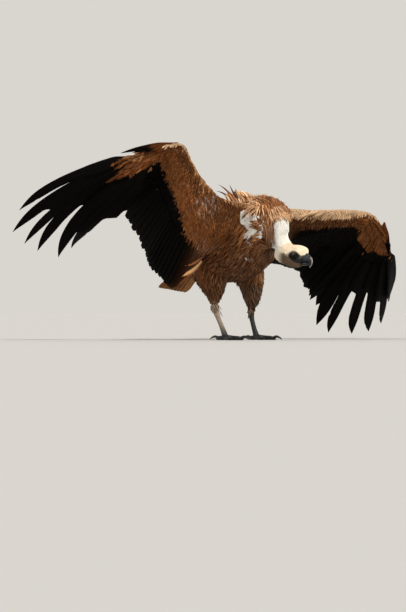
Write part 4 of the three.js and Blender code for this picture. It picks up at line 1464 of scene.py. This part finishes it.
def alula(side_name):
    """Four short stiff feathers on the thumb, the foremost the longest."""
    form, wing = ALULA[side_name], WINGS[side_name]
    along = unit(form["end"] - form["start"])
    across = unit(form["up"] - along * (form["up"] @ along))
    up = -np.cross(along, across) * wing["side"]
    shares = np.array(steps(0, 1, 14))
    lines, paints = [], []
    for i in range(4):
        length = 1 - 0.2 * i
        offset = across * (6 - 4.5 * i) + up * (1.4 - 1.1 * i)
        line = []
        for s in shares:
            bend = across * 8 * s * (1 - s) - UP * form["drop"] * s**2
            bend += offset * (0.2 + 0.8 * rise(0, 0.4, s))
            line.append(mix(form["start"], form["end"], s * length) + bend)
        lines.append(line)
        reach = np.repeat(shares * length, len(FLIGHT_RING))
        covered = rise(0.5, 0.38, reach + 0.05 * chance.normal(size=len(reach)))
        brown = mix(COLOURS["chestnut"], COLOURS["umber"], 0.3 + 0.4 * chance.random())
        paints.append(mix(COLOURS["black"], brown, covered[:, None]))
    tip = np.sqrt(np.clip(1 - rise(0.5, 1.0, shares) ** 2, 0.002, 1)) * (0.3 + 0.7 * rise(0, 0.4, shares))
    name, node = f"alula_vanes_{side_name}", f"alula_{side_name}"
    long_vanes(name, wing["side"], lines, across, [5 * tip] * 4, [10 * tip] * 4, paints, node)


def tail():
    """The tail's feathers, fanned a little, the outer ones under the middle ones."""
    along = unit(TAIL_TIP - TAIL_ROOT)
    up = -unit(np.cross(along, LEFT))
    shares = np.array(steps(0, 1, 24))
    lines, paints, leads, trails = [], [], [], []
    tip = np.sqrt(np.clip(1 - rise(0.84, 1.02, shares) ** 2, 0.002, 1)) * (0.5 + 0.5 * rise(0, 0.15, shares))
    for place in steps(-1, 1, RECTRICES - 1):
        line = []
        for share in shares:
            spread = place * (TAIL_SPREAD["root"] + (TAIL_SPREAD["tip"] - TAIL_SPREAD["root"]) * share)
            middle = mix(TAIL_ROOT, TAIL_TIP, share) + LEFT * spread + up * 20 * share * (1 - share)
            middle -= along * TAIL_SPREAD["shorter"] * place * place * share
            middle -= up * (TAIL_SPREAD["droop"] * place * place * share + abs(place) * 5 - 2.5)
            line.append(middle)
        lines.append(line)
        wide = 13 if place > 0 else 19
        leads.append(wide * tip)
        trails.append((32 - wide) * tip)
        paints.append(mix(COLOURS["umber"], COLOURS["fawn"], 0.3 + 0.4 * chance.random()))
    long_vanes("tail_vanes", 1, lines, LEFT, leads, trails, paints, "tail")


def arc(root, tip, bend=(0, 0, 0)):
    """Nine points from a root to a tip, bent to one side."""
    return [mix(root, tip, s) + vec(*bend) * 4 * s * (1 - s) for s in steps(0, 1, 8)]


def under_wing(wing, ats, shares, off):
    """Nine points that follow the underside of a wing, a little off it."""
    line = []
    for s in steps(0, 1, 8):
        at = mix(*ats, s)
        _, dorsal, _ = wing_axes(wing, at)
        line.append(on_wing(wing, at, mix(*shares, s)) - dorsal * (off + 3 * math.sin(math.pi * s)))
    return line


def loose_feathers(name, side, feathers, turn, material):
    """Single long feathers, each given by its line, its half width and its colour, and turned at random."""
    shares, widths = outline(LANCE_VANE, 9)
    lines = np.array([line for line, _, _ in feathers])
    halves = np.array([half * widths for _, half, _ in feathers])
    twist = chance.normal(0, turn, len(feathers))
    rings, faces = vane_arrays(lines, np.tile(side, (*lines.shape[:2], 1)), halves, 0.4, 0.15, twist)
    paints = np.array([COLOURS[colour] for _, _, colour in feathers])
    lengths = np.linalg.norm(lines[:, -1] - lines[:, 0], axis=1)
    maps = skin.map_places(lines[:, 0])
    finish_vanes(name, rings, faces, shares, halves, lengths, paints, maps, material)


def make_scapulars():
    """Wisps that the wind lifts from the right shoulder, over a ragged row of shorter ones."""
    feathers = [
        # The feather's line, its half width and its colour.
        (arc(vec(-122, -134, 492), vec(-168, -95, 530), (0, 0, 8)), 3.4, "umber"),
        (arc(vec(-118, -137, 494), vec(-163, -100, 553), (4, 0, 7)), 3.2, "umber"),
        (arc(vec(-116, -139, 494), vec(-152, -109, 543), (0, 0, 6)), 4.2, "chestnut"),
        (arc(vec(-108, -146, 496), vec(-132, -125, 554), (-5, 0, 2)), 3.2, "umber"),
        (arc(vec(-102, -150, 496), vec(-116, -139, 540), (-5, 0, 4)), 5.0, "fawn"),
        (arc(vec(-96, -154, 498), vec(-118, -130, 528), (-4, 0, 6)), 5.5, "fawn"),
        (arc(vec(-80, -168, 504), vec(-99, -153, 529), (-3, 0, 5)), 5.0, "buff"),
        (arc(vec(-70, -170, 508), vec(-90, -150, 526), (-3, 0, 5)), 5.5, "fawn"),
        (arc(vec(-112, -140, 490), vec(-140, -118, 522), (-3, 0, 6)), 5.5, "rufous"),
    ]
    for i, s in enumerate(steps(0, 1, 33)):
        root = mix(vec(-136, -140, 480), vec(-37, -184, 478), s) + chance.normal(0, 3, 3)
        height = 24 * math.sin(math.pi * s) * chance.uniform(0.5, 1.05)
        tip = mix(vec(-149, -116, 516), vec(-42, -167, 508), s) + UP * height
        half, colour = chance.uniform(4.2, 6), ("fawn", "buff", "rufous", "fawn")[i % 4]
        feathers.append((arc(root, tip, (0, 0, 5)), half, colour))
    loose_feathers("windblown_scapulars", RIGHT_FRONT, feathers, 0.4, LANCEOLATE)


def make_flank_feathers():
    """A long pale feather under the right wing's root, between two darker ones."""
    wing = WINGS["right"]
    side = unit(RIGHT_FRONT * 1.3 - wing_axes(wing, 22.5)[1])
    loose_feathers("pale_flank_feather", side, [
        (under_wing(wing, (24.4, 21.2), (0.96, 1.72), 14), 14, "orange_buff"),
        (under_wing(wing, (25.0, 21.8), (1.1, 2.05), 9), 10, "rufous"),
        (under_wing(wing, (24.2, 20.8), (0.85, 1.4), 9), 8, "chestnut"),
    ], 0.0, CONTOUR)


# ---- head pieces ----

def head_rings(keys, count, sides, narrow):
    """Rings across the head's length. narrow draws the top in, so that it ends in a ridge."""
    first, last = keys[0][0], keys[-1][0]
    rings = []
    for ahead in steps(first, last, count - 1):
        above, wide, high, low = through(keys, ahead)
        ring = oval(vec(0, 0, 0), vec(1, 0, 0), vec(0, 1, 0), wide, high, low, sides)
        ring[:, 0] *= 1 - narrow * np.maximum(ring[:, 1] / high, 0) ** 2
        rings.append([on_head(ahead, above + y, x) for x, y, _ in ring])
    return np.array(rings)


def nostril_relief(places):
    """A slanting slit sunk in each side of the cere, with a low rim."""
    ahead, above, left = in_head(places)
    slit = np.hypot((ahead - 41.5 + 0.5 * (above - 2)) / 1.7, (above - 2) / 4.6)
    out = HEAD_LEFT * np.sign(left)[:, None]
    side = rise(4, 8, np.abs(left))
    move = (0.5 * np.exp(-(((slit - 1.25) / 0.3) ** 2)) - 3.0 * (1 - rise(0.55, 1.0, slit))) * side
    return places + out * move[:, None]


def make_cere():
    piece = stack("cere_skin", head_rings(CERE, 26, 72, 0.12), cere_material())
    set_points(piece.data, to_row(nostril_relief(from_row(points_of(piece.data)))))
    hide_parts("cere")


def make_bill():
    horn = horn_material("bill_horn", 0.4)
    rings, pale_ridge_and_highlight = [], []
    for at in steps(0, 5, 34):
        ahead, above, wide, high, low = through(HOOK, at)
        run = through(HOOK, min(at + 0.02, 5))[:2] - through(HOOK, at - 0.02)[:2]
        way = unit(FACING * run[0] + CROWN * run[1])
        up = unit(np.cross(way, HEAD_LEFT))
        ring = oval(vec(0, 0, 0), vec(1, 0, 0), vec(0, 1, 0), wide, high, low, 48)
        top, bottom = np.maximum(ring[:, 1] / high, 0), np.maximum(-ring[:, 1] / low, 0)
        ring[:, 0] *= (1 - 0.3 * top**2) * (1 + 0.12 * bottom * (1 - bottom))
        rings.append([on_head(ahead, above) + HEAD_LEFT * x + up * y for x, y, _ in ring])
        # Pale along the ridge and at the hook's tip: partly the culmen's own paler horn, partly a painted
        # highlight.
        pale_ridge_and_highlight.append(rise(0.72, 0.96, top) * rise(0.6, 2.2, at) + 0.8 * rise(3.6, 5, at))
    upper = stack("upper_bill", np.array(rings), horn)
    edges = tree_of(to_row(np.array(rings).reshape(-1, 3)))
    pale = np.clip(np.array(pale_ridge_and_highlight).ravel(), 0, 1)[[edges.find(Vector(p))[1] for p in points_of(upper.data)]]
    paint_points(upper, mix(COLOURS["bill"], COLOURS["culmen_and_highlight"], 0.8 * pale[:, None]))
    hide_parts("bill_upper")
    lower_keys = [(ahead, above, wide, high + 2.6, low) for ahead, above, wide, high, low in MANDIBLE]
    lower = stack("lower_bill", head_rings(lower_keys, 18, 36, 0.0), horn)
    paint_points(lower, np.tile(COLOURS["bill"], (len(lower.data.vertices), 1)))
    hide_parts("bill_lower")


def make_eye(side_name, side):
    """The eyeball, whose cornea bulges a little."""
    middle = on_head(0, 0, side * EYE_OUT)
    deselect()
    bpy.ops.mesh.primitive_uv_sphere_add(segments=48, ring_count=24, radius=EYE_RADIUS)
    piece = bpy.context.object
    piece.name = piece.data.name = f"eyeball_{side_name}"
    places = points_of(piece.data)
    out = places @ HEAD_LEFT * side
    bulge = 1 + 0.05 * rise(6.5, 9.5, out)
    set_points(piece.data, to_row(middle + places * bulge[:, None]))
    bpy.ops.object.shade_smooth()
    piece.location = (0, 0, 0)
    piece.data.materials.append(eye_material(f"eyeball_{side_name}", tuple(to_row(middle))))
    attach(piece, "root")
    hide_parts(f"eye_{side_name}")


def make_claws():
    horn = horn_material("claw_horn", 0.35)
    for side_name, leg in LEGS.items():
        for toe_name, (_, _, slim, reach) in TOES.items():
            ball, way, length = toe_frame(leg, toe_name)
            start = ball + way * (length - 6)
            side = unit(np.cross(UP, way))
            keys = [
                (0, 0, slim + 1, 5.6), (1, 0.34, slim + 4.5, 5), (2, 0.68, slim + 2, 3.5), (3, 0.9, 5.4, 2),
                (4, 1, 1.4, 0.6),
            ]
            rings = []
            for at in steps(0, 4, 22):
                share, height, radius = through(keys, at)
                run = through(keys, min(at + 0.05, 4)) - through(keys, max(at - 0.05, 0))
                ahead = unit(way * run[0] * (reach + 6) + UP * run[1])
                up = unit(np.cross(ahead, side))
                up = up if up[2] > 0 or at > 3 else -up
                middle = vec(start[0], start[1], 0) + way * (reach + 6) * share + UP * height
                rings.append(oval(middle, side, up, radius * 0.82, radius, radius * 0.8, 20))
            piece = stack(f"talon_{toe_name}_{side_name}", np.array(rings), horn)
            paint_points(piece, np.tile(COLOURS["soot"], (len(piece.data.vertices), 1)))
            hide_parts(f"claw_{toe_name}_{side_name}")


# ---- where the coat grows ----
def hanging(places):
    """A lie that hangs down, forward and a little to the left."""
    return np.tile(unit(vec(0.1, -0.1, -1)), (len(places), 1))


def uncovered(places, length):
    """Where a feather of a length would not hide the white down."""
    ways = lie.at(places)
    return np.max([patches(places + ways * length * s) for s in (0, 0.3, 0.6, 0.85, 1.1)], axis=0) < 0.5


def feathered_face(places):
    """Everywhere but round the eyes and on the cere."""
    ahead, above, _ = in_head(places)
    return (np.hypot(ahead, above) > 11) & ((ahead < 33) | (above > 6))


def body_sizes(places):
    return 1 + 0.35 * rise(180, 350, (places - SHOULDERS) @ BACKWARD)


def fringe_ground(places):
    """Where the ruff's fringe grows, over the root of the neck."""
    return near(places, (0, -246, 466), (58, 52, 20)) > 0.3


def hackle_ground(places):
    """Where the long dark hackles at the two sides of the ruff's front grow."""
    spots = [((-50, -236, 446), (13, 30, 28)), ((56, -240, 440), (20, 24, 30))]
    return np.max([near(places, *spot) for spot in spots], axis=0) > 0.3


# ---- assembly ----
skin_piece = make_skin()
unwrap(skin_piece)
skin = Skin(skin_piece)
lie = Lie()
wing_maps = {side_name: WingMap(side_name) for side_name in WINGS}
dress_skin(skin_piece)

coat("trunk_feathers",
     skin.scattered(["trunk", "ruff"], 5.3, lambda p: uncovered(p, 60) & (mantle(p) < 0.5)),
     lie.at, 58, 6.2, 8, body_paint, CONTOUR,
     stray=7, loose=0.18, profile=LONG_VANE, mottle=0.65, sizes=body_sizes)
coat("ruff_feathers",
     skin.scattered(["ruff", "trunk"], 3.7, lambda p: (mantle(p) > 0.4) & uncovered(p, 68)),
     lie.at, 66, 3.6, 9, ruff_paint, LANCEOLATE,
     stray=8, loose=0.5, profile=LANCE_VANE, stations=6, mottle=0.3)
coat("ruff_fringe", skin.scattered(["neck", "ruff", "trunk"], 3.2, fringe_ground),
     hanging, 36, 3.2, 8, ruff_paint, LANCEOLATE,
     stray=12, loose=0.4, profile=LANCE_VANE, stations=6, mottle=0.3)
coat("hackles", skin.scattered(["ruff", "trunk"], 3.2, hackle_ground),
     hanging, 92, 3.6, 8, lambda p: np.tile(COLOURS["chestnut"], (len(p), 1)), LANCEOLATE,
     stray=6, loose=0.3, profile=LANCE_VANE, stations=7, mottle=0.6)
coat("neck_down", skin.scattered(["neck"], 1.25),
     lie.at, 7, 0.7, 2.6, white_paint, DOWN,
     stray=9, loose=0.2, profile=DOWN_VANE, stations=4, thick=0.2,
     sizes=lambda p: read_off([(-80, 1), (-40, 0.5)], in_head(p)[0]))
coat("head_down", skin.scattered(["head"], 1.22, feathered_face),
     lie.at, 4.2, 0.46, 0.9, head_paint, DOWN,
     stray=8, profile=DOWN_VANE, stations=3, thick=0.12,
     sizes=lambda p: read_off([(-60, 1.3), (-20, 1), (20, 0.7)], in_head(p)[0]))
coat("shoulder_down",
     skin.scattered(["trunk", "ruff", "upper_arm_right"], 1.6, lambda p: patches(p) > 0.3),
     lie.at, 13, 1.6, 5, white_paint, DOWN,
     stray=16, loose=0.25, profile=DOWN_VANE, stations=4)
for side_name, wing_map in wing_maps.items():
    on_arm = [f"{part}_{side_name}" for part in ("upper_arm", "forearm", "hand")]
    coat(f"thigh_feathers_{side_name}", skin.scattered([f"thigh_{side_name}"], 5.6),
         lie.at, 48, 5.5, 8, thigh_paint, CONTOUR,
         stray=10, loose=0.3, profile=LONG_VANE, mottle=0.3)
    coat(f"arm_coverts_{side_name}", skin.scattered(on_arm, 5.0, lambda p: patches(p) < 0.5),
         lie.at, 24, 5.2, 3.4, wing_map.paint, COVERT,
         stray=7, stations=4, sizes=wing_map.sizes, mottle=0.25)

make_scapulars()
make_flank_feathers()

# Rows on the hand, then rows on the arm.
COVERT_ROWS = [
    (0.2, 9, 3.0, -0.4, 0.02, 9, 4.2), (0.2, 9, 3.0, -0.65, -0.22, 9, 4.8),
    (0.2, 9, 3.0, -0.9, -0.46, 9, 5.2), (0.2, 9, 3.0, -1.1, -0.7, 8.5, 5.4),
    (9, 27.5, 2.0, -0.42, 0.02, 9.5, 2.2), (9, 27.5, 2.2, -0.66, -0.24, 8.5, 3.0),
    (9, 27.5, 2.4, -0.86, -0.46, 8, 3.4),
]
for side_name in WINGS:
    flight_feathers(side_name, "primary_vanes", "primaries", 0, PRIMARIES)
    flight_feathers(side_name, "secondary_vanes", "secondaries", PRIMARIES, FLIGHT_FEATHERS)
    row_of_coverts(f"upper_coverts_{side_name}", side_name, 1, COVERT_ROWS)
    row_of_coverts(f"under_coverts_{side_name}", side_name, -1, COVERT_ROWS)
    alula(side_name)
tail()
make_cere()
make_bill()
for side_name, wing in WINGS.items():
    make_eye(side_name, wing["side"])
make_claws()


# ---- floor, light and camera ----
BACKDROP, FLOOR = colour_of("#d9d6cf"), colour_of("#c1bdb6")


def stage():
    deselect()
    bpy.ops.mesh.primitive_plane_add(size=80)
    floor = bpy.context.object
    floor.name = "floor"
    material, tree, shader = new_material("plain_floor")
    shader.inputs["Base Color"].default_value = FLOOR
    shader.inputs["Roughness"].default_value = 0.9
    floor.data.materials.append(material)

    world = bpy.data.worlds.new("soft_studio")
    bpy.context.scene.world = world
    world.use_nodes = True
    tree = world.node_tree
    ambient = tree.nodes["Background"]
    ambient.inputs["Color"].default_value = (0.98, 0.99, 1.0, 1)
    ambient.inputs["Strength"].default_value = 0.5
    backdrop = add_node(tree, "ShaderNodeBackground", None, Color=BACKDROP, Strength=1.0).outputs[0]
    rays = add_node(tree, "ShaderNodeLightPath").outputs
    seen = rays["Is Camera Ray"]
    for ray in ("Is Glossy Ray", "Is Transmission Ray"):
        seen = add_node(tree, "ShaderNodeMath", GREATER, i0=seen, i1=rays[ray]).outputs[0]
    blend = add_node(tree, "ShaderNodeMixShader", None, i0=seen, i1=ambient.outputs[0], i2=backdrop)
    tree.links.new(blend.outputs[0], tree.nodes["World Output"].inputs["Surface"])

    for name, heading, height, strength, spread in (("key", 4, 42, 3.1, 14), ("fill", -90, 20, 1.1, 60)):
        lamp = bpy.data.lights.new(name, "SUN")
        lamp.energy = strength
        lamp.angle = math.radians(spread)
        light = bpy.data.objects.new(name, lamp)
        turn, lift = math.radians(heading), math.radians(height)
        source = Vector((math.sin(turn) * math.cos(lift), -math.cos(turn) * math.cos(lift), math.sin(lift)))
        light.rotation_euler = source.to_track_quat("Z", "Y").to_euler()
        bpy.context.scene.collection.objects.link(light)


def make_camera():
    """Level with the bird's knees, off its right front, far away behind a long lens."""
    turn, away, lens = math.radians(-40), 14.0, 228.8
    ahead = vec(-math.sin(turn), math.cos(turn), 0)
    right = vec(math.cos(turn), math.sin(turn), 0)
    camera = bpy.data.objects.new("camera", bpy.data.cameras.new("camera"))
    camera.data.lens = lens
    camera.data.sensor_width = 36
    camera.data.clip_end = 200
    camera.location = to_row(right * -115 - ahead * away / MM + UP * 122)
    camera.rotation_euler = (math.pi / 2, 0, turn)
    bpy.context.scene.collection.objects.link(camera)
    bpy.context.scene.camera = camera


stage()
make_camera()
bpy.context.scene.view_settings.view_transform = "Standard"
